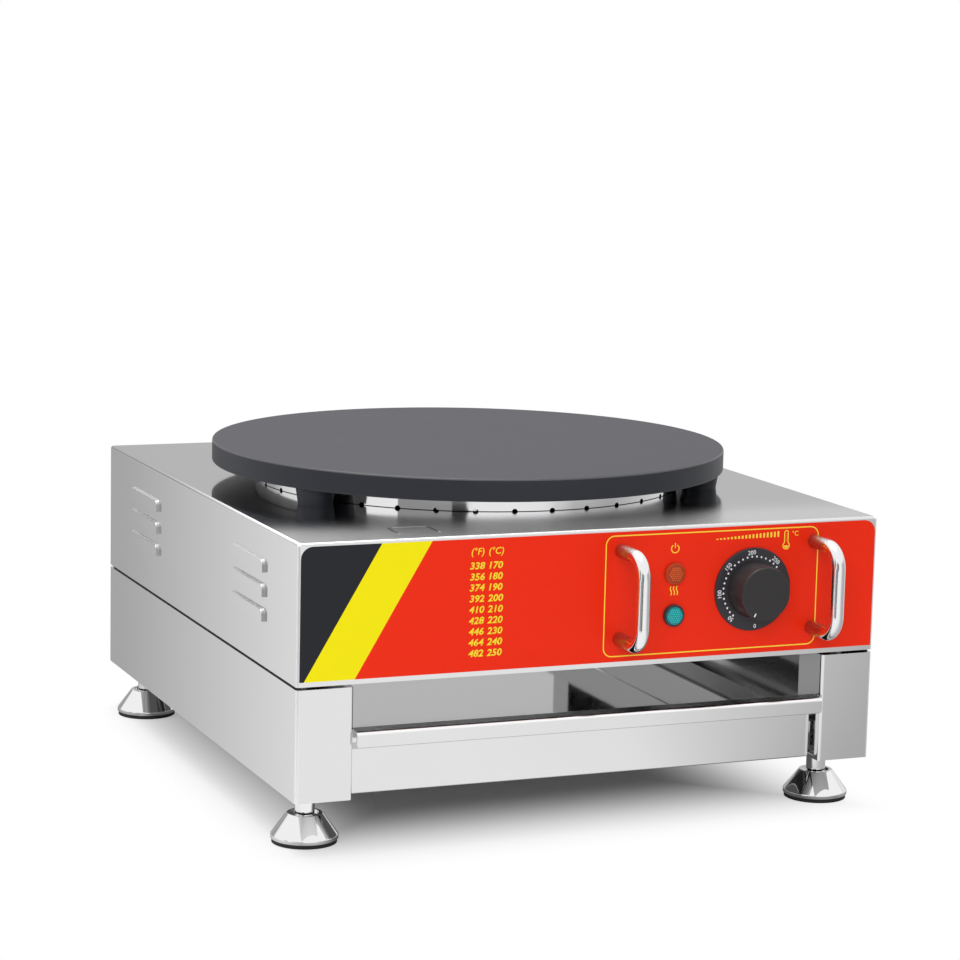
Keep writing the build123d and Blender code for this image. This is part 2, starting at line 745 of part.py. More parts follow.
# Studs go from the legs through the top of the housing to flanged nuts inside it.
stud_nut_face = housing_top - housing_sheet
with BuildPart() as plate_studs:
    with BuildSketch(Plane.XY.offset(housing_top + stud_depth)):
        with Locations(*plate_leg_places):
            Circle(stud_radius)
    extrude(amount=-stud_depth - housing_sheet - nut_flange_height - nut_height - bolt_end)

plate_studs.part.label = "plate_studs"
export_step(plate_studs.part, "parts/plate_studs.step")

with BuildPart() as plate_nuts:
    with BuildSketch(Plane.XY.offset(stud_nut_face)):
        with Locations(*plate_leg_places):
            Circle(nut_flange_radius)
            Circle(stud_radius, mode=Mode.SUBTRACT)
    extrude(amount=-nut_flange_height)
    with BuildSketch(Plane.XY.offset(stud_nut_face - nut_flange_height)):
        with Locations(*plate_leg_places):
            RegularPolygon(bolt_head_radius, 6)
            Circle(stud_radius, mode=Mode.SUBTRACT)
    extrude(amount=-nut_height)

plate_nuts.part.label = "plate_nuts"
export_step(plate_nuts.part, "parts/plate_nuts.step")

# The shield is a thin ring standing on the housing, notched along its foot so that
# spilt batter and steam can pass.
with BuildPart() as heat_shield_ring:
    with BuildSketch(Plane.XY.offset(housing_top)):
        with Locations((0, plate_y)):
            Circle(ring_radius)
            Circle(ring_radius - ring_sheet, mode=Mode.SUBTRACT)
    extrude(amount=plate_leg_height - ring_gap)
    with Locations((0, plate_y, housing_top)):
        with PolarLocations(ring_radius - ring_sheet / 2, notch_count):
            Cylinder(notch_radius, 4 * ring_sheet, rotation=(0, 90, 0), mode=Mode.SUBTRACT)

heat_shield_ring.part.label = "heat_shield_ring"
export_step(heat_shield_ring.part, "parts/heat_shield_ring.step")

# ---------------------------------------------------------------- heating

element_z = plate_bottom - element_tube_radius
gap_half_angle = element_gap_angle / 2
element_leg_places = [(r * cos(radians(90 + a)), plate_y + r * sin(radians(90 + a)))
                      for r in element_radii for a in (-gap_half_angle, gap_half_angle)]
element_start = radians(90 + gap_half_angle)
element_section = Plane(origin=(0, plate_y, 0), x_dir=(cos(element_start), sin(element_start), 0),
                        z_dir=(sin(element_start), -cos(element_start), 0))
for ring_name, ring_r, leg_pair in (("heating_element_outer", element_radii[0], element_leg_places[:2]),
                                    ("heating_element_inner", element_radii[1], element_leg_places[2:])):
    with BuildPart() as heating_element:
        with BuildSketch(element_section):
            with Locations((ring_r, element_z)):
                Circle(element_tube_radius)
        revolve(axis=Axis((0, plate_y, 0), (0, 0, 1)), revolution_arc=360 - element_gap_angle)
        with Locations(*[(x, y, element_z) for x, y in leg_pair]):
            Sphere(element_tube_radius)
        with BuildSketch(Plane.XY.offset(element_z)):
            with Locations(*leg_pair):
                Circle(element_tube_radius)
        extrude(amount=-element_leg_length)
        with BuildSketch(Plane.XY.offset(element_z - element_leg_length)):
            with Locations(*leg_pair):
                Circle(element_pin_radius)
        extrude(amount=-element_pin_length)
    heating_element.part.label = ring_name
    export_step(heating_element.part, f"parts/{ring_name}.step")

# A crossed clamp under the elements is bolted to the boss and presses them on the plate.
with BuildPart() as element_clamp:
    with BuildSketch(Plane.XY.offset(boss_bottom)):
        with Locations((0, plate_y)):
            Circle(plate_boss_radius)
            Rectangle(2 * clamp_reach, clamp_arm_width, rotation=45)
            Rectangle(2 * clamp_reach, clamp_arm_width, rotation=-45)
            Circle(clamp_bolt_radius, mode=Mode.SUBTRACT)
    extrude(amount=-clamp_sheet)

element_clamp.part.label = "element_clamp"
export_step(element_clamp.part, "parts/element_clamp.step")

clamp_bolt_face = boss_bottom - clamp_sheet
with BuildPart() as clamp_bolt:
    with BuildSketch(Plane.XY.offset(clamp_bolt_face)):
        with Locations((0, plate_y)):
            RegularPolygon(clamp_bolt_head_radius, 6)
    extrude(amount=-bolt_head_height)
    with BuildSketch(Plane.XY.offset(clamp_bolt_face)):
        with Locations((0, plate_y)):
            Circle(clamp_bolt_radius)
    extrude(amount=clamp_sheet + clamp_bolt_depth)

clamp_bolt.part.label = "clamp_bolt"
export_step(clamp_bolt.part, "parts/clamp_bolt.step")

# The dish hangs by its flange in the top of the housing and holds the insulation.
dish_floor = housing_top - dish_depth
bulb_y = plate_y - bulb_circle
capillary_drop_x = bulb_length / 2 + capillary_lead
with BuildPart() as reflector_dish:
    with BuildSketch(Plane.XY.offset(dish_floor)):
        with Locations((0, plate_y)):
            Circle(dish_radius)
    extrude(amount=dish_depth)
    fillet(reflector_dish.faces().sort_by(Axis.Z)[0].edges(), radius=dish_bottom_round)
    offset(amount=-dish_sheet, openings=reflector_dish.faces().sort_by(Axis.Z)[-1])
    with BuildSketch(Plane.XY.offset(housing_top)):
        with Locations((0, plate_y)):
            Circle(dish_radius + dish_flange)
            Circle(dish_radius - dish_sheet, mode=Mode.SUBTRACT)
    extrude(amount=dish_sheet)
    with BuildSketch(Plane.XY.offset(dish_floor)):
        with Locations(*element_leg_places):
            Circle(element_tube_radius + leg_clearance)
        with Locations((capillary_drop_x, bulb_y)):
            Circle(capillary_radius + leg_clearance)
    extrude(amount=dish_sheet, mode=Mode.SUBTRACT)

reflector_dish.part.label = "reflector_dish"
export_step(reflector_dish.part, "parts/reflector_dish.step")

with BuildPart() as insulation_disc:
    with BuildSketch(Plane.XY.offset(dish_floor + dish_sheet)):
        with Locations((0, plate_y)):
            Circle(dish_radius - dish_bottom_round)
        with Locations(*element_leg_places):
            Circle(element_tube_radius + leg_clearance, mode=Mode.SUBTRACT)
        with Locations((capillary_drop_x, bulb_y)):
            Circle(capillary_radius + leg_clearance, mode=Mode.SUBTRACT)
    extrude(amount=insulation_thickness)

insulation_disc.part.label = "insulation_disc"
export_step(insulation_disc.part, "parts/insulation_disc.step")

# ---------------------------------------------------------------- front overlay

overlay_y = front_y - overlay_thickness
overlay_width = housing_width - 2 * overlay_side_margin
overlay_height = housing_height - overlay_bottom_margin - overlay_top_margin
with BuildPart() as panel_overlay:
    with BuildSketch(front_face) as overlay_outline:
        with Locations((0, housing_bottom + overlay_bottom_margin)):
            Rectangle(overlay_width, overlay_height, align=(Align.CENTER, Align.MIN))
        fillet(overlay_outline.vertices().group_by(Axis.Y)[-1], radius=overlay_corner)
        with Locations(*handle_feet):
            Circle(screw_radius + hole_clearance, mode=Mode.SUBTRACT)
        with Locations(*lamp_places.values()):
            Circle(lamp_barrel_radius + panel_hole_clearance, mode=Mode.SUBTRACT)
        with Locations((knob_x, knob_z)):
            Circle(shaft_radius + shaft_hole_clearance, mode=Mode.SUBTRACT)
        with Locations(*thermostat_screw_places):
            Circle(screw_radius, mode=Mode.SUBTRACT)
    extrude(amount=overlay_thickness)

panel_overlay.part.label = "panel_overlay"
export_step(panel_overlay.part, "parts/panel_overlay.step")

# Two bow handles guard the knob. Each is a bent rod, tapped at both ends.
bow_y = overlay_y - handle_stand_off
for handle_name, handle_x in (("handle_left", handle_left_x), ("handle_right", handle_right_x)):
    with BuildPart() as bow_handle:
        with BuildLine(Plane.YZ.offset(handle_x)):
            FilletPolyline((overlay_y, handle_foot_zs[1]), (bow_y, handle_foot_zs[1]),
                           (bow_y, handle_foot_zs[0]), (overlay_y, handle_foot_zs[0]),
                           radius=handle_bend_radius)
        with BuildSketch(overlay_face):
            with Locations((handle_x, handle_foot_zs[1])):
                Circle(handle_rod_radius)
        sweep()
        with BuildSketch(overlay_face):
            with Locations(*[(handle_x, z) for z in handle_foot_zs]):
                Circle(screw_radius)
        extrude(amount=handle_tap_depth, mode=Mode.SUBTRACT)
    bow_handle.part.label = handle_name
    export_step(bow_handle.part, f"parts/{handle_name}.step")

with BuildPart() as handle_screws:
    with BuildSketch(inner_front_face):
        with Locations(*handle_feet):
            Circle(screw_head_radius)
    extrude(amount=-screw_head_height)
    with BuildSketch(inner_front_face):
        with Locations(*handle_feet):
            Circle(screw_radius)
    extrude(amount=housing_sheet + overlay_thickness + handle_tap_depth)

handle_screws.part.label = "handle_screws"
export_step(handle_screws.part, "parts/handle_screws.step")

# Each indicator lamp is a bezel with a barrel behind it and a crowned lens set in it.
lens_crown_radius = (lamp_lens_radius ** 2 + lamp_lens_crown ** 2) / (2 * lamp_lens_crown)
lens_seat_y = overlay_y - lamp_bezel_height + lamp_lens_seat
for lamp_name, (lamp_at_x, lamp_at_z) in lamp_places.items():
    with BuildPart() as lamp_body:
        with BuildSketch(overlay_face):
            with Locations((lamp_at_x, lamp_at_z)):
                Circle(lamp_bezel_radius)
        extrude(amount=lamp_bezel_height)
        chamfer(lamp_body.faces().sort_by(Axis.Y)[0].edges(), length=lamp_bezel_chamfer)
        with BuildSketch(overlay_face.offset(lamp_bezel_height)):
            with Locations((lamp_at_x, lamp_at_z)):
                Circle(lamp_lens_radius)
        extrude(amount=-lamp_lens_seat, mode=Mode.SUBTRACT)
        with BuildSketch(overlay_face):
            with Locations((lamp_at_x, lamp_at_z)):
                Circle(lamp_barrel_radius)
        extrude(amount=-lamp_barrel_length)
    lamp_body.part.label = f"{lamp_name}_body"
    export_step(lamp_body.part, f"parts/{lamp_name}_body.step")

    lens_section = Plane(origin=(lamp_at_x, lens_seat_y, lamp_at_z), x_dir=(1, 0, 0), z_dir=(0, 0, -1))
    with BuildPart() as lamp_lens:
        with BuildSketch(lens_section):
            with BuildLine():
                Polyline((0, 0), (lamp_lens_radius, 0), (lamp_lens_radius, lamp_lens_seat))
                RadiusArc((lamp_lens_radius, lamp_lens_seat), (0, lamp_lens_seat + lamp_lens_crown),
                          -lens_crown_radius)
                Line((0, lamp_lens_seat + lamp_lens_crown), (0, 0))
            make_face()
        revolve(axis=Axis((lamp_at_x, lens_seat_y, lamp_at_z), (0, -1, 0)))
    lamp_lens.part.label = f"{lamp_name}_lens"
    export_step(lamp_lens.part, f"parts/{lamp_name}_lens.step")

with BuildPart() as lamp_clips:
    with BuildSketch(inner_front_face):
        with Locations(*lamp_places.values()):
            Circle(lamp_clip_radius)
            Circle(lamp_barrel_radius, mode=Mode.SUBTRACT)
    extrude(amount=-lamp_clip_thickness)

lamp_clips.part.label = "lamp_clips"
export_step(lamp_clips.part, "parts/lamp_clips.step")

# ---------------------------------------------------------------- thermostat

# The switch body hangs behind the front sheet on two screws. Its shaft turns in a bore.
thermostat_back_y = front_y + housing_sheet + thermostat_deep
with BuildPart() as thermostat_body:
    with BuildSketch(inner_front_face):
        with Locations((knob_x, knob_z)):
            RectangleRounded(thermostat_width, thermostat_tall, fold_radius)
    extrude(amount=-thermostat_deep)
    with BuildSketch(inner_front_face):
        with Locations((knob_x, knob_z)):
            Circle(shaft_radius + shaft_running_clearance)
    extrude(amount=-shaft_in_thermostat, mode=Mode.SUBTRACT)
    with BuildSketch(inner_front_face):
        with Locations(*thermostat_screw_places):
            Circle(screw_radius)
    extrude(amount=-thermostat_screw_depth, mode=Mode.SUBTRACT)
    with BuildSketch(inner_front_face.offset(-thermostat_deep)):
        with Locations((knob_x, knob_z)):
            with GridLocations(thermostat_width / 2, thermostat_tall / 2, 2, 2):
                Rectangle(terminal_tab_width, terminal_tab_thickness)
    extrude(amount=-terminal_tab_length)

thermostat_body.part.label = "thermostat_body"
export_step(thermostat_body.part, "parts/thermostat_body.step")

with BuildPart() as thermostat_screws:
    with BuildSketch(overlay_face):
        with Locations(*thermostat_screw_places):
            Circle(thermostat_screw_head_radius)
    extrude(amount=thermostat_screw_head_height)
    with BuildSketch(overlay_face):
        with Locations(*thermostat_screw_places):
            Circle(screw_radius)
    extrude(amount=-overlay_thickness - housing_sheet - thermostat_screw_depth)

thermostat_screws.part.label = "thermostat_screws"
export_step(thermostat_screws.part, "parts/thermostat_screws.step")

with BuildPart() as dial_plate:
    with BuildSketch(overlay_face):
        with Locations((knob_x, knob_z)):
            Circle(dial_radius)
    extrude(amount=dial_thickness)
    chamfer(dial_plate.faces().sort_by(Axis.Y)[0].edges(), length=dial_chamfer)
    with BuildSketch(overlay_face):
        with Locations((knob_x, knob_z)):
            Circle(dial_bore_radius)
    extrude(amount=dial_thickness, mode=Mode.SUBTRACT)

dial_plate.part.label = "dial_plate"
export_step(dial_plate.part, "parts/dial_plate.step")

# The shaft is flatted along its outer length, where the cap's hub grips it.
cap_back_face = overlay_face.offset(dial_thickness + cap_gap)
shaft_outer_length = dial_thickness + cap_gap + shaft_in_cap
shaft_inner_length = overlay_thickness + housing_sheet + shaft_in_thermostat - shaft_end_gap
with BuildPart() as thermostat_shaft:
    with BuildSketch(overlay_face.offset(shaft_outer_length)):
        with Locations((knob_x, knob_z)):
            Circle(shaft_radius)
    extrude(amount=-shaft_outer_length - shaft_inner_length)
    with BuildSketch(cap_back_face):
        with Locations((knob_x, knob_z + shaft_radius - shaft_flat)):
            Rectangle(2 * shaft_radius, shaft_radius, align=(Align.CENTER, Align.MIN))
    extrude(amount=shaft_in_cap, mode=Mode.SUBTRACT)

thermostat_shaft.part.label = "thermostat_shaft"
export_step(thermostat_shaft.part, "parts/thermostat_shaft.step")

with BuildPart() as knob_cap:
    with BuildSketch(cap_back_face):
        with Locations((knob_x, knob_z)):
            Circle(cap_base_radius)
    extrude(amount=cap_length, taper=degrees(atan2(cap_base_radius - cap_front_radius, cap_length)))
    fillet(knob_cap.faces().sort_by(Axis.Y)[0].edges(), radius=cap_edge_round)
    with BuildSketch(cap_back_face):
        with Locations((knob_x, knob_z)):
            Circle(cap_front_radius - cap_wall)
            Circle(cap_hub_radius, mode=Mode.SUBTRACT)
    extrude(amount=cap_length - 2 * cap_wall, mode=Mode.SUBTRACT)
    with BuildSketch(cap_back_face) as hub_bore:
        with Locations((knob_x, knob_z)):
            Circle(shaft_radius)
        with Locations((knob_x, knob_z + shaft_radius - shaft_flat)):
            Rectangle(2 * shaft_radius, shaft_radius, align=(Align.CENTER, Align.MIN), mode=Mode.SUBTRACT)
    extrude(amount=shaft_in_cap, mode=Mode.SUBTRACT)

knob_cap.part.label = "knob_cap"
export_step(knob_cap.part, "parts/knob_cap.step")

# The sensing bulb lies under the plate between the two elements, in a clamp, and its
# capillary runs down through the dish and forward to the thermostat.
bulb_z = plate_bottom - bulb_radius
bulb_start = Plane(origin=(-bulb_length / 2, bulb_y, bulb_z), x_dir=(0, 1, 0), z_dir=(1, 0, 0))
with BuildPart() as sensor_bulb:
    with BuildSketch(bulb_start):
        Circle(bulb_radius)
    extrude(amount=bulb_length)

sensor_bulb.part.label = "sensor_bulb"
export_step(sensor_bulb.part, "parts/sensor_bulb.step")

with BuildPart() as bulb_clamp:
    with BuildSketch(Plane(origin=(-bulb_clamp_length / 2, bulb_y, plate_bottom), x_dir=(0, 1, 0),
                           z_dir=(1, 0, 0))):
        Rectangle(2 * (bulb_radius + bulb_clamp_wall), 2 * bulb_radius + bulb_clamp_wall,
                  align=(Align.CENTER, Align.MAX))
        with Locations((0, -bulb_radius)):
            Circle(bulb_radius, mode=Mode.SUBTRACT)
            Rectangle(2 * bulb_radius, bulb_radius, align=(Align.CENTER, Align.MIN), mode=Mode.SUBTRACT)
    extrude(amount=bulb_clamp_length)

bulb_clamp.part.label = "bulb_clamp"
export_step(bulb_clamp.part, "parts/bulb_clamp.step")

capillary_route = [(bulb_length / 2, bulb_y, bulb_z),
                   (capillary_drop_x, bulb_y, bulb_z),
                   (capillary_drop_x, bulb_y, knob_z),
                   (knob_x, bulb_y, knob_z),
                   (knob_x, thermostat_back_y, knob_z)]
with BuildPart() as capillary_tube:
    with BuildLine():
        FilletPolyline(*capillary_route, radius=capillary_bend)
    with BuildSketch(Plane(origin=capillary_route[0], z_dir=(1, 0, 0))):
        Circle(capillary_radius)
    sweep()

capillary_tube.part.label = "capillary_tube"
export_step(capillary_tube.part, "parts/capillary_tube.step")

# ---------------------------------------------------------------- supply and wiring

# The cable gland passes through the rear panel and is held by a locknut inside it. It is
# turned about the cable's axis, so it is drawn as one section.
gland_section = Plane(origin=(gland_x, back_y, gland_z), x_dir=(1, 0, 0), z_dir=(0, 0, -1))
gland_axis = Axis((gland_x, back_y, gland_z), (0, 1, 0))
gland_shoulder = housing_sheet + gland_flange_height
with BuildPart() as cable_gland:
    with BuildSketch(Plane(origin=(gland_x, back_y + housing_sheet, gland_z), x_dir=(-1, 0, 0),
                           z_dir=(0, 1, 0))):
        RegularPolygon(gland_flange_radius, 6)
    extrude(amount=gland_flange_height)
    with BuildSketch(gland_section):
        with BuildLine():
            Polyline((0, gland_inner_length), (gland_thread_radius, gland_inner_length),
                     (gland_thread_radius, -housing_sheet), (gland_cap_radius, -gland_shoulder),
                     (gland_cap_radius, gland_cap_round - gland_reach))
            RadiusArc((gland_cap_radius, gland_cap_round - gland_reach),
                      (gland_cap_radius - gland_cap_round, -gland_reach), gland_cap_round)
            Polyline((gland_cap_radius - gland_cap_round, -gland_reach), (0, -gland_reach),
                     (0, gland_inner_length))
        make_face()
    revolve(axis=gland_axis)
    with BuildSketch(back_face.offset(gland_reach)):
        with Locations((-gland_x, gland_z)):
            Circle(gland_bore_radius)
    extrude(amount=-gland_reach - gland_inner_length, mode=Mode.SUBTRACT)

cable_gland.part.label = "cable_gland"
export_step(cable_gland.part, "parts/cable_gland.step")

with BuildPart() as gland_locknut:
    with BuildSketch(back_face):
        with Locations((-gland_x, gland_z)):
            RegularPolygon(gland_flange_radius, 6)
            Circle(gland_thread_radius, mode=Mode.SUBTRACT)
    extrude(amount=-locknut_height)

gland_locknut.part.label = "gland_locknut"
export_step(gland_locknut.part, "parts/gland_locknut.step")

# The earth stud has a nut on each side of the rear panel.
with BuildPart() as earth_stud:
    with BuildSketch(back_face.offset(earth_stud_length / 2)):
        with Locations((-earth_stud_x, earth_stud_z)):
            Circle(bolt_radius)
    extrude(amount=-earth_stud_length)
    with BuildSketch(rear_outer_face):
        with Locations((-earth_stud_x, earth_stud_z)):
            RegularPolygon(bolt_head_radius, 6)
    extrude(amount=bolt_head_height)
    with BuildSketch(back_face):
        with Locations((-earth_stud_x, earth_stud_z)):
            RegularPolygon(bolt_head_radius, 6)
    extrude(amount=-bolt_head_height)

earth_stud.part.label = "earth_stud"
export_step(earth_stud.part, "parts/earth_stud.step")

# The terminal block stands on the base in front of the gland, with a row of screw wells.
terminal_floor = base_floor + housing_sheet
terminal_top = terminal_floor + terminal_height
terminal_y = back_y - terminal_back_gap
terminal_pitch = terminal_length / terminal_ways
terminal_xs = [gland_x + (way - (terminal_ways - 1) / 2) * terminal_pitch for way in range(terminal_ways)]
with BuildPart() as terminal_block:
    with BuildSketch(Plane.XY.offset(terminal_floor)):
        with Locations((gland_x, terminal_y)):
            Rectangle(terminal_length, terminal_depth)
    extrude(amount=terminal_height)
    with BuildSketch(Plane.XY.offset(terminal_top)):
        with Locations(*[(x, terminal_y) for x in terminal_xs]):
            with GridLocations(0, terminal_depth / 2, 1, 2):
                Circle(terminal_well_radius)
    extrude(amount=-terminal_well_depth, mode=Mode.SUBTRACT)

terminal_block.part.label = "terminal_block"
export_step(terminal_block.part, "parts/terminal_block.step")

# Wires leave the front of the terminal block and run low over the base: four rise to the
# pins of the elements, two go to the lamps and one to the thermostat.
wire_z = terminal_floor + terminal_height / 2
terminal_front_y = terminal_y - terminal_depth / 2
pin_end_z = element_z - element_leg_length - element_pin_length
lamp_back_y = overlay_y + lamp_barrel_length
pin_order = sorted(element_leg_places, key=lambda place: (-round(place[1]), place[0]))
panel_wire_ends = [(lamp_x, lamp_back_y, power_lamp_z), (lamp_x, lamp_back_y, heat_lamp_z),
                   (knob_x - thermostat_width / 4, thermostat_back_y,
                    knob_z - thermostat_tall / 4 - wire_drop)]
wire_routes = []
for way, (pin_x, pin_y) in enumerate(pin_order):
    start_x = terminal_xs[way]
    first_turn_y = terminal_front_y - wire_lead - way * wire_stagger
    wire_routes.append([(start_x, terminal_front_y, wire_z), (start_x, first_turn_y, wire_z),
                        (pin_x, pin_y, wire_z), (pin_x, pin_y, pin_end_z)])
for (end_x, end_y, end_z), start_x in zip(panel_wire_ends, terminal_xs[len(pin_order):]):
    turn_y = end_y + wire_lead + (end_z - wire_z) / 2
    wire_routes.append([(start_x, terminal_front_y, wire_z),
                        (start_x, turn_y + abs(start_x - end_x) / 2, wire_z), (end_x, turn_y, wire_z),
                        (end_x, end_y + wire_lead, end_z), (end_x, end_y, end_z)])
with BuildPart() as wiring:
    for route in wire_routes:
        with BuildLine():
            FilletPolyline(*route, radius=wire_bend)
        with BuildSketch(Plane(origin=route[0], z_dir=(0, -1, 0))):
            Circle(wire_radius)
        sweep()

wiring.part.label = "wiring"
export_step(wiring.part, "parts/wiring.step")
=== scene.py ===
# %% [markdown]
# # Dressing an electric crepe maker
# A crepe maker is a heavy cast iron plate over two ring heaters, carried by a folded
# stainless housing. Below it a chassis holds a drawer, and on the front sits a printed
# overlay with two lamps and a thermostat knob between two bow handles. The packed model
# has every piece at its real size and place. This lesson gives the pieces their finish,
# makes finer versions of the ones that need them, and sets up a small white studio.

# %% The packed model
from math import asin, cos, degrees, hypot, pi, radians, sin, sqrt, tau

import bmesh
import bpy
from mathutils import Matrix, Vector


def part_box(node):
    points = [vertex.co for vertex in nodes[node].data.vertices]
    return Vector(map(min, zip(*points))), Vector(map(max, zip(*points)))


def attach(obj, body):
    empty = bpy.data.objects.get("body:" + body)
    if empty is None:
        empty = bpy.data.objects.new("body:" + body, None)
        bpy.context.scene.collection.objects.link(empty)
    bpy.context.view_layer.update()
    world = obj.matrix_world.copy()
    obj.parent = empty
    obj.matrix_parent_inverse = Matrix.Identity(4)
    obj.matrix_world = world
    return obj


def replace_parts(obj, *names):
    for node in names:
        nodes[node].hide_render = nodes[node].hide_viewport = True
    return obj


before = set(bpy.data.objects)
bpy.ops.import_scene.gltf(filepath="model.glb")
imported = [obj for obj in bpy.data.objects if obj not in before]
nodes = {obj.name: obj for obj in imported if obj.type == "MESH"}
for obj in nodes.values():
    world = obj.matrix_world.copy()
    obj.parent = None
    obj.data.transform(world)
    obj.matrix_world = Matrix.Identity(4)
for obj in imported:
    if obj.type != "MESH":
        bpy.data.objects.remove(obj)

add_object = bpy.context.scene.collection.objects.link
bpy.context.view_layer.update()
mm = 0.001               # a millimetre in metres, the unit of the packed model
micron = 0.001 * mm

# %% [markdown]
# ## Camera
# The view is that of a catalogue picture: a long lens two metres away, a little above
# the worktop and turned to the left corner. The picture is square, so the lens and the
# sensor width alone say how much fits in it.

# %% The camera
camera_place = Vector((-0.851, -2.059, 0.563))
camera_turn = radians(22.54)
camera_dip = radians(8.74)
camera_roll = radians(1.32)
camera_lens = 108.3
camera_sensor = 36.0

ahead = Vector((sin(camera_turn) * cos(camera_dip), cos(camera_turn) * cos(camera_dip),
                -sin(camera_dip)))
level_right = ahead.cross(Vector((0, 0, 1))).normalized()
level_up = level_right.cross(ahead)
camera_right = level_right * cos(camera_roll) + level_up * sin(camera_roll)
camera_up = level_up * cos(camera_roll) - level_right * sin(camera_roll)

camera = bpy.data.objects.new("camera", bpy.data.cameras.new("camera"))
camera.data.lens = camera_lens
camera.data.sensor_width = camera_sensor
camera.matrix_world = Matrix.Translation(camera_place) @ Matrix(
    (camera_right, camera_up, -ahead)).transposed().to_4x4()
add_object(camera)
bpy.context.scene.camera = camera
bpy.context.scene.view_settings.view_transform = "Standard"
print("camera looks down by", round(degrees(asin(-ahead.z)), 2), "degrees")

# %% [markdown]
# ## Shader formulas
# A material is a graph of nodes, and graphs written node by node are hard to read. One
# small class holds a socket and overloads arithmetic, so that `1 - mask * 0.5` adds the
# Math nodes by itself. The reflected forms, such as `__rsub__`, are for a plain number on
# the left. Every other node comes from its one method `node`, which first gives the node
# its settings and then fills or links its sockets. Patterns read Object coordinates, which
# here are the real position in metres.

# %% One class for shader formulas
class Term:
    """The value of one socket in a formula. Arithmetic on it adds Math nodes."""

    def __init__(self, tree, output=None):
        self.tree = tree
        self.output = output

    def node(self, kind, settings=None, values=None, stops=None):
        """A new node as a Term of its first output: settings, then sockets by name or number."""
        made = self.tree.nodes.new(kind)
        for name, value in (settings or {}).items():
            setattr(made, name, value)
        if stops:
            ramp = made.color_ramp
            for position, colour in stops[1:-1]:
                ramp.elements.new(position)
            for element, (position, colour) in zip(ramp.elements, stops):
                element.position = position
                element.color = colour
        for name, value in (values or {}).items():
            socket = made.inputs[name] if isinstance(name, int) else next(
                s for s in made.inputs if s.enabled and s.name == name)
            several = isinstance(value, list) and isinstance(value[0], Term)
            for source in value if several else [value]:
                if isinstance(source, Term):
                    self.tree.links.new(source.output, socket)
                else:
                    socket.default_value = source
        return Term(self.tree, next((s for s in made.outputs if s.enabled), None))

    def other(self, name):
        """Another output of the node that this Term comes from."""
        return Term(self.tree, self.output.node.outputs[name])

    def math(self, operation, *values):
        return self.node("ShaderNodeMath", {"operation": operation}, dict(enumerate(values)))

    def __add__(self, value):
        return self.math("ADD", self, value)

    def __radd__(self, value):
        return self.math("ADD", value, self)

    def __sub__(self, value):
        return self.math("SUBTRACT", self, value)

    def __rsub__(self, value):
        return self.math("SUBTRACT", value, self)

    def __mul__(self, value):
        return self.math("MULTIPLY", self, value)

    def __rmul__(self, value):
        return self.math("MULTIPLY", value, self)

    def __truediv__(self, value):
        return self.math("DIVIDE", self, value)

    def __gt__(self, value):
        return self.math("GREATER_THAN", self, value)

    def __lt__(self, value):
        return self.math("LESS_THAN", self, value)

    def step(self, start, end):
        """0 before start, 1 after end and smooth between them."""
        return self.node("ShaderNodeMapRange", {"interpolation_type": "SMOOTHSTEP"},
                         {"Value": self, "From Min": start, "From Max": end})

    def blend(self, low, high):
        """A colour: low where this mask is 0 and high where it is 1."""
        return self.node("ShaderNodeMix", {"data_type": "RGBA"},
                         {"Factor": self, "A": low, "B": high})


def grey(level):
    return (level, level, level, 1.0)


def new_finish(name):
    """An empty material and a Term to build it with."""
    finish = bpy.data.materials.new(name)
    finish.use_nodes = True
    finish.node_tree.nodes.clear()
    return finish, Term(finish.node_tree)


def place(term):
    """The place on the object in metres, from the origin of the packed model."""
    return term.node("ShaderNodeTexCoord").other("Object")


def axes_of(term):
    """The same place split up: this Term is X, and its other outputs are Y and Z."""
    return term.node("ShaderNodeSeparateXYZ", None, {0: place(term)})


print("operators of Term", [name for name in vars(Term) if name.startswith("__")][2:11])

# %% [markdown]
# ## Studio
# Stainless steel shows mostly what stands around it, so the studio is part of its look.
# The world is white to the camera. In reflections that white fades to soft greys in some
# directions, as a photographer's flags would make it, or every steel face would be the
# same white. The floor carries the same greys in reflections only. To the camera it is
# pale paper that keeps the shadow next to the object and turns pure white further out.

# %% Greys of the surroundings by compass direction
# Degrees clockwise from the back, and the level that a reflection sees there.
surroundings = [(-180, 0.97), (-110, 0.95), (-60, 0.90), (-42, 0.76), (-30, 0.38), (-21, 0.33),
                (-5, 0.44), (12, 0.48), (20, 0.55), (32, 0.53), (60, 0.88), (95, 0.62),
                (120, 0.42), (143, 0.50), (150, 0.66), (162, 0.93), (180, 0.97)]
# On the paper beside the left wall the greys fan out from a place in front instead, so that
# they run along the wall without a slant: degrees seen from that place, and the level.
fan_place = (0.40, -2.06)
fan_greys = [(-40, 0.93), (-19.6, 0.90), (-18.6, 0.80), (-17.0, 0.62), (-15.2, 0.42),
             (-10, 0.42)]
# Narrow boards with sharp sides stand in that soft surrounding: from, to and grey.
boards = [(-150, -121, 0.30), (-158, -150, 0.04), (-104, -92, 0.05)]
# Above the greys the sky turns white, between these two values of a direction's Z.
overhead_from, overhead_to = 0.26, 0.38
overhead_white = 0.97
sky_light = 0.55         # strength of the sky as a lamp


def share(angle):
    """0 to 1 for degrees clockwise from the back, with 0.5 at the back."""
    return (angle + 180) / 360


def compass(east, north):
    """The same share for the direction or place given by two Terms."""
    return east.math("ARCTAN2", east, north) / tau + 0.5


def surround(east, north, greys=surroundings):
    """The soft grey in a direction, or at a place on the floor."""
    stops = [(share(angle), grey(level)) for angle, level in greys]
    return east.node("ShaderNodeValToRGB", None, {0: compass(east, north)}, stops)


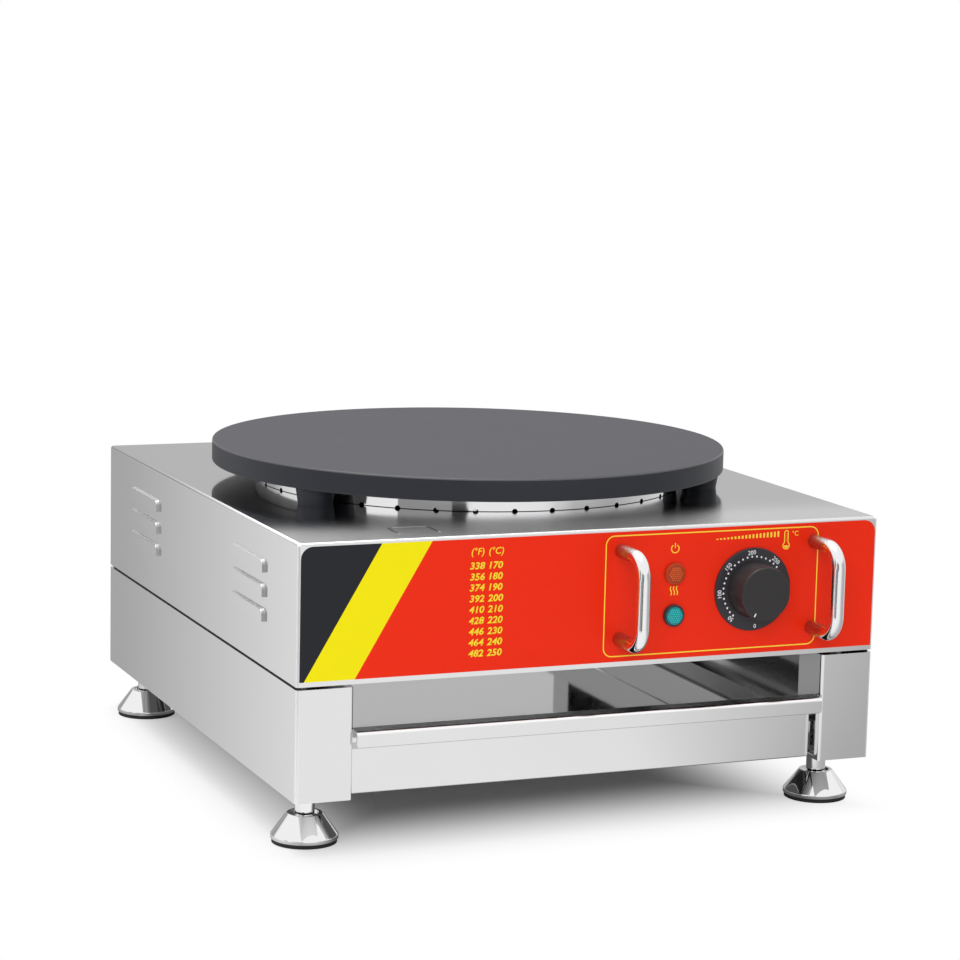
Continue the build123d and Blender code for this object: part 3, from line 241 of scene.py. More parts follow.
def behind_boards(tone, east, north):
    """The same tone with the boards in front of it."""
    turn = compass(east, north)
    for start, end, level in boards:
        board = (turn > share(start)) * (turn < share(end))
        tone = board.blend(tone, grey(level))
    return tone


world = bpy.data.worlds.new("studio")
world.use_nodes = True
world.node_tree.nodes.clear()
sky = Term(world.node_tree)
sky_axes = sky.node("ShaderNodeSeparateXYZ", None, {0: sky.node("ShaderNodeTexCoord")})
sky_rays = sky.node("ShaderNodeLightPath")
mirrors = sky_rays.other("Is Glossy Ray")
seen = sky_rays.math("MAXIMUM", sky_rays.other("Is Camera Ray"), mirrors)
seen = seen.math("MAXIMUM", seen, sky_rays.other("Is Transmission Ray"))
sky_north = sky_axes.other("Y")
sky_grey = behind_boards(surround(sky_axes, sky_north), sky_axes, sky_north)
overhead = sky_axes.other("Z").step(overhead_from, overhead_to)
sky_grey = overhead.blend(sky_grey, grey(overhead_white))
background = sky.node("ShaderNodeBackground", None, {
    "Color": mirrors.blend(grey(1.0), sky_grey), "Strength": sky_light + seen * (1 - sky_light)})
sky.node("ShaderNodeOutputWorld", None, {"Surface": background})
bpy.context.scene.world = world
print("world ready, with", len(surroundings), "greys and", len(boards), "boards")

# %% [markdown]
# How deep a place lies inside the outline of the housing decides the paper's look. Deep
# inside, the camera sees it with its shadow, and outside as pure white. A reflection sees a
# painted shadow inside, dark because the object stands over it, and the studio's greys outside.

# %% Floor
floor_reach = 9.0
floor_drop = 0.1 * mm
paper_grey = 0.93
clear_from, clear_to = 0.116, -0.046     # metres inside the outline, from shadow to pure white
shadow_lean = 0.07       # how far it moves outwards at the left, for a metre from the middle
reflected_shadow_edge = 0.03      # metres on both sides of the outline where the painted shadow fades out
reflected_shadow_grey = 0.10      # the painted shadow that a reflection sees inside
boards_from, boards_to = 0.6, 0.8        # metres from the middle where the boards appear
floor_mesh = bpy.data.meshes.new("floor")
floor_corners = [(x * floor_reach, y * floor_reach, -floor_drop)
                 for x, y in ((-1, -1), (1, -1), (1, 1), (-1, 1))]
floor_mesh.from_pydata(floor_corners, [], [(0, 1, 2, 3)])
floor = bpy.data.objects.new("floor", floor_mesh)
add_object(floor)
floor_finish, paper = new_finish("floor_paper")
east = axes_of(paper)
north = east.other("Y")
rays = paper.node("ShaderNodeLightPath")
left_front, right_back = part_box("housing_shell")
inside = east - left_front.x
for depth in (right_back.x - east, north - left_front.y, right_back.y - north):
    inside = inside.math("MINIMUM", inside, depth)
away = east.math("SQRT", east * east + north * north)
beside = (east < left_front.x) * (north > left_front.y)
fanned = surround(east - fan_place[0], north - fan_place[1], fan_greys)
open_grey = beside.blend(surround(east, north), fanned)
# a painted shadow under the object, seen only in reflections
soft_grey = inside.step(-reflected_shadow_edge, reflected_shadow_edge).blend(open_grey, grey(reflected_shadow_grey))
far_grey = behind_boards(soft_grey, east, north)
mirrored = away.step(boards_from, boards_to).blend(soft_grey, far_grey)
paper_diffuse = paper.node("ShaderNodeBsdfDiffuse", None, {"Color": grey(paper_grey)})
paper_white = paper.node("ShaderNodeEmission", None, {"Color": grey(1.0), "Strength": 1.0})
paper_mirrored = paper.node("ShaderNodeEmission", None, {"Color": mirrored, "Strength": 1.0})
shadowed = (inside - east * shadow_lean).step(clear_to, clear_from)
cleared = (1 - shadowed) * rays.other("Is Camera Ray")
paper_surface = paper.node("ShaderNodeMixShader", None,
                           {0: cleared, 1: paper_diffuse, 2: paper_white})
paper_surface = paper.node("ShaderNodeMixShader", None,
                           {0: rays.other("Is Glossy Ray"), 1: paper_surface, 2: paper_mirrored})
paper.node("ShaderNodeOutputMaterial", None, {"Surface": paper_surface})
floor_mesh.materials.append(floor_finish)
print("floor is", 2 * floor_reach, "m wide")

# %% [markdown]
# Two large soft lamps do the rest: one above and a little behind gives the short shadow
# in front of the object, and one near the camera fills the front. The second skips the
# floor, or it would light the shadow away, and it doesn't show in the steel.

# %% Lamps
def soft_lamp(name, place, target, size, power):
    """A square area lamp that looks at target."""
    lamp = bpy.data.objects.new(name, bpy.data.lights.new(name, "AREA"))
    lamp.data.size = size
    lamp.data.energy = power
    lamp.location = place
    lamp.rotation_euler = (Vector(target) - Vector(place)).to_track_quat("-Z", "Y").to_euler()
    add_object(lamp)
    return lamp


soft_lamp("top_lamp", place=(-0.25, 0.35, 2.1), target=(0, 0, 0.1), size=1.7, power=42)
front_lamp = soft_lamp("front_lamp", place=(-1.2, -2.6, 1.5), target=(0, 0, 0.15),
                       size=1.6, power=34)
off_floor = bpy.data.collections.new("lit_by_front_lamp")
off_floor.objects.link(floor)
off_floor.collection_objects[0].light_linking.link_state = "EXCLUDE"
front_lamp.light_linking.receiver_collection = off_floor
front_lamp.visible_glossy = False
print("lamps", [lamp.name for lamp in bpy.data.lights])

# %% [markdown]
# ## Finishes
# Every finish is one Principled shader. What varies over a surface goes only into its
# colour, its roughness and its normal. A grain given in millimetres has its true size.

# %% Helpers for finishes
def close_finish(term, values):
    shader = term.node("ShaderNodeBsdfPrincipled", None, values)
    term.node("ShaderNodeOutputMaterial", None, {"Surface": shader})


def band(value, rise, fall):
    """A mask that is 1 between a rise and a fall of the value, each given as (from, to)."""
    return value.step(*rise) * (1 - value.step(*fall))


def noise(term, size, detail=2.0, stretch=(1, 1, 1)):
    """Cloudy noise from 0 to 1 whose blots are about size metres, stretched along the axes."""
    point = term.node("ShaderNodeMapping", None,
                      {"Vector": place(term), "Scale": [1 / factor for factor in stretch]})
    return term.node("ShaderNodeTexNoise", None,
                     {"Vector": point, "Scale": 1 / size, "Detail": detail})


def bump(term, height, depth):
    """A normal for a relief that is depth metres deep where height goes from 0 to 1."""
    return term.node("ShaderNodeBump", None,
                     {"Height": height, "Distance": depth, "Strength": 1.0})


print("finish helpers ready")

# %% [markdown]
# ### Stainless steel
# The sheet is bright and almost a mirror, so it shows a soft picture of the room. Two
# things keep it from looking like a perfect mirror: a fine rolled grain along one
# direction, and faint smudges that change its tone and roughness. On top of these come
# places with a mask of their own: worn places that are duller, folds with a painted
# highlight, and seams with painted shade.

# %% Sheet metal
grain_size, grain_length = 0.25 * mm, 150.0      # the second counts in grain sizes
smudge_size = 45 * mm
metal_detail = 3.0
smudged_share = 0.97     # of the colour
painted_shade_line_stop = 0.1 * mm


def shaded(colour, share_left):
    """A darker colour with the same alpha."""
    return [channel * share_left for channel in colour[:3]] + [1.0]


def sheet_metal(name, colour, roughness, grain_axis="Y", grain_depth=0.4 * micron, smudge=0.03,
                painted_shade_line=None, wear_and_light=None):
    """Metal with a rolled grain. The painted shade line is a dark line as (low, high, fade,
    level), in metres up. Wear and light is a function from the Term to rows of a mask, and the
    roughness to add and the tone where it is 1: worn places, painted highlights and painted shade."""
    finish, term = new_finish(name)
    stretch = [grain_length if axis == grain_axis else 1.0 for axis in "XYZ"]
    grain = noise(term, grain_size, metal_detail, stretch)
    cloud = noise(term, smudge_size, metal_detail)
    tone = cloud.blend(shaded(colour, smudged_share), colour)
    # painted shade: a dark line along a height darkens the tone
    if painted_shade_line:
        low, high, fade, level = painted_shade_line
        line = band(axes_of(term).other("Z"), (low - fade, low), (high, high + painted_shade_line_stop))
        tone = line.blend(tone, grey(level))
    gloss = roughness + (cloud - 0.5) * smudge + (grain - 0.5) * smudge
    # each mask adds roughness and sets a tone: worn, a painted highlight or painted shade
    for mask, rougher, level in wear_and_light(term) if wear_and_light else ():
        gloss = gloss + mask * rougher
        tone = mask.blend(tone, grey(level))
    close_finish(term, {"Base Color": tone, "Metallic": 1.0, "Roughness": gloss,
                        "Normal": bump(term, grain, grain_depth)})
    return finish


# %% [markdown]
# Each kind of wear or painted light is a function that gives such places for one finish. Most
# borders are measured from the packed pieces, so a mask stays on its fold when a size changes.

# %% Wear and painted light on the sheet metal
wall_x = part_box("chassis_right")[1].x
louvre_bulge = 2.2 * mm
flank_from, flank_to = (0.02 * mm, 0.1 * mm), (0.90 * louvre_bulge, 0.97 * louvre_bulge)
wiped = (-0.205, -0.11)  # metres to the back, where the wiped strip fades
side_highlight_fade = (-0.15, 0.15)  # and where the painted highlight on the side folds fades
bend, bend_start = 2.2 * mm, 2.0 * mm  # how far a fold reaches in from the faces it joins
bend_end = (wall_x - 0.15 * mm, wall_x - 0.03 * mm)
fold_highlight = (0.35, 1.0)  # added roughness, and the tone of a painted highlight


def housing_wear(term):
    """The louvres' stretched flanks and the worktop's front, wiped, are dull; the folds get a
    painted highlight.
    """
    axes = axes_of(term)
    flank = band(axes.math("ABSOLUTE", axes) - wall_x, flank_from, flank_to)
    top = axes.other("Z").step(worktop - 1.0 * mm, worktop - 0.5 * mm)
    wiped_top = top * (1 - axes.other("Y").step(*wiped))
    return (flank, 0.50, 0.50), (wiped_top, 0.20, 0.80), front_fold(axes), side_fold(axes)


def at_fold(axes):
    """A mask for the bends that end at the side walls."""
    return band(axes.math("ABSOLUTE", axes), (wall_x - bend, wall_x - bend_start), bend_end)


def front_fold(axes):
    """The upright folds at the front are rougher, with a painted highlight."""
    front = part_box("chassis_right")[0].y
    behind = axes.other("Y").step(front + bend_start, front + bend)
    return at_fold(axes) * (1 - behind), *fold_highlight


def side_fold(axes):
    """The folds along the sides of the worktop get the same painted highlight, most of all near the
    front.
    """
    high = axes.other("Z").step(worktop - bend, worktop - bend_start)
    return at_fold(axes) * high * (1 - axes.other("Y").step(*side_highlight_fade)), *fold_highlight


# painted highlight on the upright folds at the front of the chassis
def chassis_wear(term):
    return (front_fold(axes_of(term)),)


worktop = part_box("heat_shield_ring")[0].z
handle_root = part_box("panel_overlay")[0].y
lip_lower_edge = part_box("drawer_front")[1].z - 11.5 * mm
# painted shade: a near-black line at the foot of the heat shield ring, where it meets the worktop,
# and a grey painted shadow under the pull lip of the drawer front
ring_foot_shade = (worktop - 1 * mm, worktop + 0.35 * mm, 0.1 * mm, 0.04)
lip_shadow_line = (lip_lower_edge - 4.0 * mm, lip_lower_edge + 0.45 * mm, 0.5 * mm, 0.52)


def lip_wear(term):
    """The top fold of the pull lip gets a painted highlight."""
    lip_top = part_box("drawer_front")[1].z
    fold_low, fold_high = (lip_top - 3.0 * mm, lip_top - 2.0 * mm), (lip_top - 0.3 * mm, lip_top)
    return ((band(axes_of(term).other("Z"), fold_low, fold_high), 0.05, 1.0),)


def handle_wear(term):
    """The legs of the bow handles are rougher, because no hand polishes them, and darker as painted
    shade.
    """
    bow_end, leg_start = handle_root - 28 * mm, handle_root - 18 * mm
    leg = axes_of(term).other("Y").step(bow_end, leg_start)
    return ((leg, 0.16, 0.50),)


print("worktop and walls in mm", round(worktop / mm, 1), round(wall_x / mm, 1))

# %% The metals
polished_steel = sheet_metal("polished_steel", grey(0.80), 0.065, wear_and_light=housing_wear)
inner_steel = sheet_metal("inner_steel", grey(0.45), 0.22, smudge=0.06)
satin_steel = sheet_metal("satin_steel", grey(0.80), 0.11, "Z", smudge=0.04, wear_and_light=chassis_wear)
drawer_steel = sheet_metal("drawer_steel", grey(0.80), 0.12, "X", smudge=0.04, painted_shade_line=lip_shadow_line,
                           wear_and_light=lip_wear)
tray_steel = sheet_metal("tray_steel", grey(0.77), 0.07, "X")
bead_steel = sheet_metal("bead_steel", grey(0.62), 0.16)
ring_steel = sheet_metal("ring_steel", (0.95, 0.95, 0.96, 1), 0.03, "Z", smudge=0.02,
                         painted_shade_line=ring_foot_shade)
zinc_steel = sheet_metal("zinc_steel", (0.62, 0.63, 0.64, 1), 0.28, "X",
                         grain_depth=2 * micron, smudge=0.12)
screw_steel = sheet_metal("screw_steel", (0.78, 0.78, 0.79, 1), 0.12, "X", smudge=0.05)
plated = {"grain_axis": "X", "grain_depth": 0.1 * micron, "smudge": 0.02}
chrome = sheet_metal("chrome", (0.90, 0.90, 0.91, 1), 0.05, **plated)
handle_chrome = sheet_metal("handle_chrome", (0.90, 0.90, 0.91, 1), 0.13, wear_and_light=handle_wear,
                            **plated)
copper = sheet_metal("copper", (0.72, 0.38, 0.22, 1), 0.25, "X", grain_depth=micron, smudge=0.1)
brass = sheet_metal("brass", (0.72, 0.55, 0.25, 1), 0.22, "Y", grain_depth=micron, smudge=0.08)
print("metals", [finish.name for finish in bpy.data.materials if "steel" in finish.name])

# %% [markdown]
# ### Cast iron
# The plate is machined and then burnt in with oil. Its top is a dark even grey with a
# fine tooth and a soft sheen. Its side gets a darker colour as painted shade, and the
# rounded rim between them a lighter one as a painted highlight. Masks
# by height pick the three, and slow clouds stand for the seasoning.

# %% Cast iron
# painted shade: the darker side; painted highlight: the lighter rim
iron_side_shade, iron_rim_highlight = (0.023, 0.0245, 0.031, 1), (0.085, 0.086, 0.092, 1)
iron_top = (0.0310, 0.0305, 0.0385, 1), (0.0370, 0.0360, 0.0450, 1)
rim_edges = (1.7 * mm, 1.3 * mm), (0.25 * mm, 0.08 * mm)     # below the top of the plate

cast_iron, term = new_finish("cast_iron")
tooth = noise(term, size=0.35 * mm, detail=4.0)
seasoning = noise(term, size=60 * mm, detail=3.0)
plate_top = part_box("crepe_plate")[1].z
up = axes_of(term).other("Z")
above_side, on_top = [up.step(plate_top - low, plate_top - high) for low, high in rim_edges]
rim_gloss = (above_side - on_top) * 0.14
close_finish(term, {
    "Base Color": on_top.blend(above_side.blend(iron_side_shade, iron_rim_highlight), seasoning.blend(*iron_top)),
    "Roughness": 0.46 + (seasoning - 0.5) * 0.06 + (tooth - 0.5) * 0.10 - rim_gloss,
    "Specular IOR Level": 0.245,
    "Normal": bump(term, tooth, 12 * micron)})
print("plate top at", round(plate_top / mm, 1), "mm")

# %% [markdown]
# ### Printed overlay
# The front is a polyester film printed from behind: charcoal at the left, a slanted
# yellow stripe, and red for the rest. The stripe is worked out from X and Z, as a line
# that leans to the left on its way down. Each edge of the stripe is a mask, and a Mix
# node picks the ink.

# %% Film in three inks
stripe_top = (-163.0 * mm, 220.0 * mm)
stripe_bottom = (-222.0 * mm, 120.0 * mm)
stripe_width = 37.0 * mm
ink_red = (0.79, 0.021, 0.002, 1)
ink_yellow = (0.84, 0.735, 0.0, 1)
ink_charcoal = (0.016, 0.0175, 0.022, 1)
ink_edge = 0.05 * mm     # how soft the border between two inks is

overlay_print, term = new_finish("overlay_print")
axes = axes_of(term)
lean = (stripe_top[0] - stripe_bottom[0]) / (stripe_top[1] - stripe_bottom[1])
across = axes - (axes.other("Z") - stripe_top[1]) * lean - stripe_top[0]
past_charcoal = across.step(-ink_edge, ink_edge)
past_yellow = across.step(stripe_width - ink_edge, stripe_width + ink_edge)
film_colour = past_yellow.blend(past_charcoal.blend(ink_charcoal, ink_yellow), ink_red)
orange_peel = noise(term, 1.2 * mm, 2.0)
close_finish(term, {
    "Base Color": film_colour, "Roughness": 0.30 + (noise(term, 30 * mm) - 0.5) * 0.05,
    "Specular IOR Level": 0.15, "Normal": bump(term, orange_peel, 1.5 * micron)})
print("stripe leans", round(lean, 3), "sideways for each unit of height")

# %% [markdown]
# ### Plastics, rubber, insulation and ink
# These share one recipe: a colour that clouds a little, a roughness that follows the
# clouds, and a fine moulded tooth as bump.

# %% Moulded and woven finishes
cloud_size = 12 * mm


def moulded(name, colour, roughness, tooth_size=0.4 * mm, tooth_depth=4 * micron, specular=0.4,
            variation=0.12):
    """A moulded or woven finish. Variation is the share of the colour that a cloud takes."""
    finish, term = new_finish(name)
    tooth = noise(term, tooth_size, 3.0)
    cloud = noise(term, cloud_size, 2.0)
    close_finish(term, {
        "Base Color": cloud.blend(shaded(colour, 1 - variation), colour),
        "Roughness": roughness + (cloud - 0.5) * 0.06,
        "Specular IOR Level": specular, "Normal": bump(term, tooth, tooth_depth)})
    return finish


rubber = moulded("rubber", (0.020, 0.020, 0.021, 1), 0.62)
knob_plastic = moulded("knob_plastic", (0.032, 0.030, 0.031, 1), 0.34, specular=0.24)
dial_plastic = moulded("dial_plastic", (0.030, 0.028, 0.034, 1), 0.36, specular=0.35)
amber_bezel = moulded("amber_bezel", (0.44, 0.045, 0.006, 1), 0.30, specular=0.25)
dark_bezel = moulded("dark_bezel", (0.012, 0.030, 0.045, 1), 0.22)
bakelite = moulded("bakelite", (0.10, 0.07, 0.05, 1), 0.45)
gland_plastic = moulded("gland_plastic", (0.035, 0.035, 0.036, 1), 0.42)
element_sheath = moulded("element_sheath", (0.13, 0.10, 0.085, 1), 0.42, 0.2 * mm, 3 * micron,
                         specular=0.6, variation=0.4)
insulation = moulded("insulation", (0.72, 0.68, 0.58, 1), 0.9, 1.2 * mm, 0.3 * mm,
                     specular=0.1)
wire_sleeve = moulded("wire_sleeve", (0.62, 0.60, 0.55, 1), 0.8, 0.5 * mm, 60 * micron,
                      specular=0.1)
ink_for_marks = moulded("yellow_ink", (0.93, 0.66, 0.05, 1), 0.34, specular=0.2, variation=0.04)
ink_for_table = moulded("table_ink", (0.93, 0.71, 0.03, 1), 0.34, specular=0.2, variation=0.04)
ink_for_dial = moulded("white_ink", (0.86, 0.86, 0.88, 1), 0.4, specular=0.2, variation=0.03)
print("moulded finishes ready")

# %% Lens finishes
lens_cloud_size = 3 * mm


def lens_finish(name, colour, deep):
    """A lens: a thin clear coat over a body whose colour goes from deep to full in clouds."""
    finish, term = new_finish(name)
    cloud = noise(term, lens_cloud_size, 1.0)
    close_finish(term, {
        "Base Color": cloud.blend(deep, colour), "Roughness": 0.26 + cloud * 0.10,
        "Specular IOR Level": 0.3, "Coat Weight": 0.15, "Coat Roughness": 0.1,
        "Normal": bump(term, cloud, 20 * micron)})
    return finish


red_lens = lens_finish("red_lens", (0.34, 0.034, 0.002, 1), (0.24, 0.020, 0.001, 1))
red_prism = lens_finish("red_prism", (0.78, 0.125, 0.004, 1), (0.58, 0.080, 0.002, 1))
green_lens = lens_finish("green_lens", (0.004, 0.24, 0.25, 1), (0.002, 0.15, 0.16, 1))
green_prism = lens_finish("green_prism", (0.020, 0.62, 0.60, 1), (0.008, 0.46, 0.46, 1))
print("lens finishes ready")

# %% Finishes for the packed pieces
def each_foot(part):
    """The names of the same part in all four feet."""
    return tuple(f"foot_{part}_{y}_{x}" for y in ("front", "back") for x in ("left", "right"))


finishes = {
    polished_steel: ("housing_shell", "reflector_dish"),
    satin_steel: ("chassis_left", "chassis_right", "rear_panel"),
    inner_steel: ("base_plate", "runner_left", "runner_right"),
    drawer_steel: ("drawer_front",), tray_steel: ("drawer_tray",),
    ring_steel: ("heat_shield_ring",),
    zinc_steel: ("foot_nut_plates", "housing_bolts", "housing_nuts", "housing_spacers",
                 "plate_studs", "plate_nuts", "element_clamp", "clamp_bolt", "bulb_clamp",
                 "lamp_clips", "thermostat_screws", "thermostat_shaft"),
    screw_steel: ("base_screws", "rear_panel_screws", "runner_screws", "handle_screws"),
    handle_chrome: ("handle_left", "handle_right"),
    chrome: each_foot("bell") + each_foot("stem"), rubber: each_foot("pad"),
    cast_iron: ("crepe_plate",), overlay_print: ("panel_overlay",),
    knob_plastic: ("knob_cap",), dial_plastic: ("dial_plate",),
    amber_bezel: ("power_lamp_body",), dark_bezel: ("heat_lamp_body",),
    red_lens: ("power_lamp_lens",), green_lens: ("heat_lamp_lens",),
    bakelite: ("thermostat_body", "terminal_block"), copper: ("sensor_bulb", "capillary_tube"),
    brass: ("earth_stud",), gland_plastic: ("cable_gland", "gland_locknut"),
    element_sheath: ("heating_element_outer", "heating_element_inner"),
    insulation: ("insulation_disc",), wire_sleeve: ("wiring",)}
for finish, names in finishes.items():
    for name in names:
        nodes[name].material_slots[0].material = finish
undressed = sorted(set(nodes) - {name for names in finishes.values() for name in names})
print("nodes with no finish yet:", undressed)

# %% [markdown]
# ## Printed marks
# Screen-printed marks are ink a few hundredths of a millimetre high. They are real
# geometry here: outlines and digits as closed meshes on the film, so they stay sharp
# at any distance.

# %% A piece, and flat marks on the front
def piece(name, mesh, finish, body):
    """An object for a finished mesh, riding on its body."""
    made = bpy.data.objects.new(name, mesh)
    add_object(made)
    mesh.materials.clear()
    mesh.materials.append(finish)
    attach(made, body)
    return made


def meshed(name, solid):
    """The mesh of a finished bmesh, which is freed."""
    mesh = bpy.data.meshes.new(name)
    solid.to_mesh(mesh)
    solid.free()
    return mesh


film_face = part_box("panel_overlay")[0].y
dial_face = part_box("dial_plate")[0].y
cap_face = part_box("knob_cap")[0].y
ink_height = 0.03 * mm
ink_sunk = 0.01 * mm
capital_share = 0.72     # a capital's height as a share of the font's size
letter_steps = 3         # how finely curves of letters are divided
corner_steps = 8         # and corners of lines


def ribbon(marks, outline, width, closed=True):
    """Adds a flat band of that width along an outline of (x, z) points to a bmesh."""
    count = len(outline)
    pairs = []
    for index, (x, z) in enumerate(outline):
        before = outline[index - 1] if closed or index else (x, z)
        after = outline[(index + 1) % count] if closed or index + 1 < count else (x, z)
        away = Vector((after[1] - before[1], before[0] - after[0])).normalized() * width / 2
        pairs.append((marks.verts.new((x - away.x, z - away.y, 0)),
                      marks.verts.new((x + away.x, z + away.y, 0))))
    for (a, b), (c, d) in zip(pairs, pairs[1:] + pairs[:1] if closed else pairs[1:]):
        marks.faces.new((a, b, d, c))


def patch(marks, outline):
    """Adds one flat face."""
    marks.faces.new([marks.verts.new((x, z, 0)) for x, z in outline])


def arc(x, z, radius, start, end, count):
    """Points on an arc, with angles in degrees counterclockwise from the right."""
    angles = [radians(start + (end - start) * step / count) for step in range(count + 1)]
    return [(x + radius * cos(angle), z + radius * sin(angle)) for angle in angles]


def raised(marks, face_y):
    """Turns flat marks drawn in X and Z into ink that stands on the face at face_y."""
    for face in marks.faces:
        face.normal_update()
        if face.normal.z < 0:
            face.normal_flip()
    sides = bmesh.ops.extrude_face_region(marks, geom=marks.faces[:])
    backs = [face for face in marks.faces if face not in sides["geom"] and face.normal.z > 0.5]
    bmesh.ops.reverse_faces(marks, faces=backs)
    for corner in sides["geom"]:
        if isinstance(corner, bmesh.types.BMVert):
            corner.co.z += ink_height + ink_sunk
    stand = Matrix(((1, 0, 0, 0), (0, 0, -1, face_y + ink_sunk), (0, 1, 0, 0), (0, 0, 0, 1)))
    bmesh.ops.transform(marks, matrix=stand, verts=marks.verts)
    bmesh.ops.recalc_face_normals(marks, faces=marks.faces)
    return meshed("marks", marks)


def written(marks, words, x, z, height, turn=0.0, bold=0.0, slant=0.0, wide=1.0):
    """Adds text centred at (x, z) and turned by degrees clockwise to a bmesh of flat marks."""
    curve = bpy.data.curves.new("words", "FONT")
    curve.body = words
    curve.size = height / capital_share
    curve.align_x = "CENTER"
    curve.align_y = "CENTER"
    curve.offset = bold
    curve.shear = slant
    curve.resolution_u = letter_steps
    holder = bpy.data.objects.new("words", curve)
    mesh = bpy.data.meshes.new_from_object(holder)
    spans = [[vertex.co[axis] for vertex in mesh.vertices] for axis in (0, 1, 2)]
    middle = Vector([(min(span) + max(span)) / 2 for span in spans])
    mesh.transform(Matrix.Translation((x, z, 0)) @ Matrix.Rotation(-radians(turn), 4, "Z")
                   @ Matrix.Diagonal((wide, 1, 1, 1)) @ Matrix.Translation(-middle))
    marks.from_mesh(mesh)
    bpy.data.objects.remove(holder)
    bpy.data.meshes.remove(mesh)


print("film face at", round(film_face / mm, 2), "dial face at", round(dial_face / mm, 2))

# %% [markdown]
# The temperature table runs from 170 to 250 degrees Celsius in tens, with Fahrenheit in
# front. Working the numbers out is shorter than listing them.

# %% Temperature table
table_x = -86.2 * mm
table_head_z = 208.1 * mm
table_first_z = 198.6 * mm
table_pitch = 7.78 * mm
digit_height = 4.9 * mm
column_reach = 7.0 * mm
head_look = {"bold": 0.08 * mm, "slant": 0.15}
number_look = {"bold": 0.19 * mm, "slant": 0.17, "wide": 1.1}
rows = [(round(celsius * 9 / 5 + 32), celsius) for celsius in range(170, 251, 10)]
marks = bmesh.new()
for column, unit in ((-1, "(°F)"), (1, "(°C)")):
    written(marks, unit, table_x + column * column_reach, table_head_z, digit_height, **head_look)
for row, (fahrenheit, celsius) in enumerate(rows):
    row_z = table_first_z - row * table_pitch
    for column, number in ((-1, fahrenheit), (1, celsius)):
        written(marks, str(number), table_x + column * column_reach, row_z, digit_height,
                **number_look)
piece("temperature_table", raised(marks, film_face), ink_for_table, "frame")
print("rows", rows)

# %% Frame line, lamp symbols and thermometer
frame_left, frame_right = 5.0 * mm, 175.5 * mm
frame_low, frame_high = 127.5 * mm, 214.8 * mm
frame_corner = 6.5 * mm
frame_line = 0.85 * mm
thin_line = 0.75 * mm
lamp_x = sum(corner.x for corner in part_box("power_lamp_body")) / 2
marks = bmesh.new()
corners = ((frame_right, frame_high, -1, -1, 0), (frame_left, frame_high, 1, -1, 90),
           (frame_left, frame_low, 1, 1, 180), (frame_right, frame_low, -1, 1, 270))
outline = []
for corner_x, corner_z, inward_x, inward_z, start in corners:
    outline += arc(corner_x + inward_x * frame_corner, corner_z + inward_z * frame_corner,
                   frame_corner, start, start + 90, corner_steps)
ribbon(marks, outline, frame_line)

# power symbol over the upper lamp: an open ring with a stroke in its gap
power_z, power_radius = 203.6 * mm, 3.0 * mm
power_gap = 70           # degrees
stroke_low, stroke_high = 0.5 * mm, 1.35 * power_radius
ring = arc(lamp_x, power_z, power_radius, 90 + power_gap / 2, 450 - power_gap / 2, count=24)
stroke = [(lamp_x, power_z + stroke_low), (lamp_x, power_z + stroke_high)]
ribbon(marks, ring, thin_line, closed=False)
ribbon(marks, stroke, thin_line, closed=False)

# heat symbol over the lower lamp: three waves
heat_z = 173.0 * mm
wave_reach, wave_pitch, wave_swing = 3.2 * mm, 2.4 * mm, 0.55 * mm
wave_steps = 12
for column in (-1, 0, 1):
    wave = [(lamp_x + column * wave_pitch + wave_swing * sin(tau * step / wave_steps),
             heat_z - wave_reach + 2 * wave_reach * step / wave_steps)
            for step in range(wave_steps + 1)]
    ribbon(marks, wave, thin_line, closed=False)

# a wedge that grows to the right says less to more, beside the thermometer
wedge_left, wedge_right = 93.0 * mm, 142.5 * mm
wedge_z, wedge_height = 208.4 * mm, 4.2 * mm
wedge_bars, bar_half = 18, 0.75 * mm
first_bar = 0.2          # its share of the last bar's height
for bar in range(wedge_bars):
    along = bar / (wedge_bars - 1)
    bar_x = wedge_left + (wedge_right - wedge_left) * along
    bar_top = wedge_z + wedge_height * (first_bar + (1 - first_bar) * along)
    patch(marks, [(bar_x - bar_half, wedge_z), (bar_x + bar_half, wedge_z),
                  (bar_x + bar_half, bar_top), (bar_x - bar_half, bar_top)])

# thermometer: a stem with a round top that runs into a bulb, the bulb filled from below
glass_x, glass_low, glass_high = 149.2 * mm, 201.8 * mm, 211.3 * mm
stem_half, bulb_radius, filled_radius = 1.45 * mm, 2.6 * mm, 1.872 * mm
meet = degrees(asin(stem_half / bulb_radius))
glass = arc(glass_x, glass_high, stem_half, 0, 180, count=10)
glass += arc(glass_x, glass_low, bulb_radius, 90 + meet, 450 - meet, count=24)
ribbon(marks, glass, thin_line)
patch(marks, arc(glass_x, glass_low, filled_radius, 180, 360, count=12))
tick_count, tick_first, tick_pitch = 4, 1.1 * mm, 1.6 * mm
tick_line, tick_inset = 0.45 * mm, 0.1 * mm
for step in range(tick_count):
    tick_z = glass_low + bulb_radius + tick_first + tick_pitch * step
    tick = [(glass_x + tick_inset, tick_z), (glass_x + stem_half, tick_z)]
    ribbon(marks, tick, tick_line, closed=False)
unit_x, unit_z, unit_height = 156.5 * mm, 210.5 * mm, 3.6 * mm
written(marks, "°C", unit_x, unit_z, unit_height)
piece("front_marks", raised(marks, film_face), ink_for_marks, "frame")
print("frame line encloses", round((frame_right - frame_left) / mm, 1), "mm")

# %% [markdown]
# ## Dial
# The dial counts from 0 at the bottom to 250 at the upper right, clockwise. A small
# function turns a temperature into an angle, and both the digits and the dots use it.
# The dots repeat by a rule, so Geometry Nodes put one disc on each of a row of points.

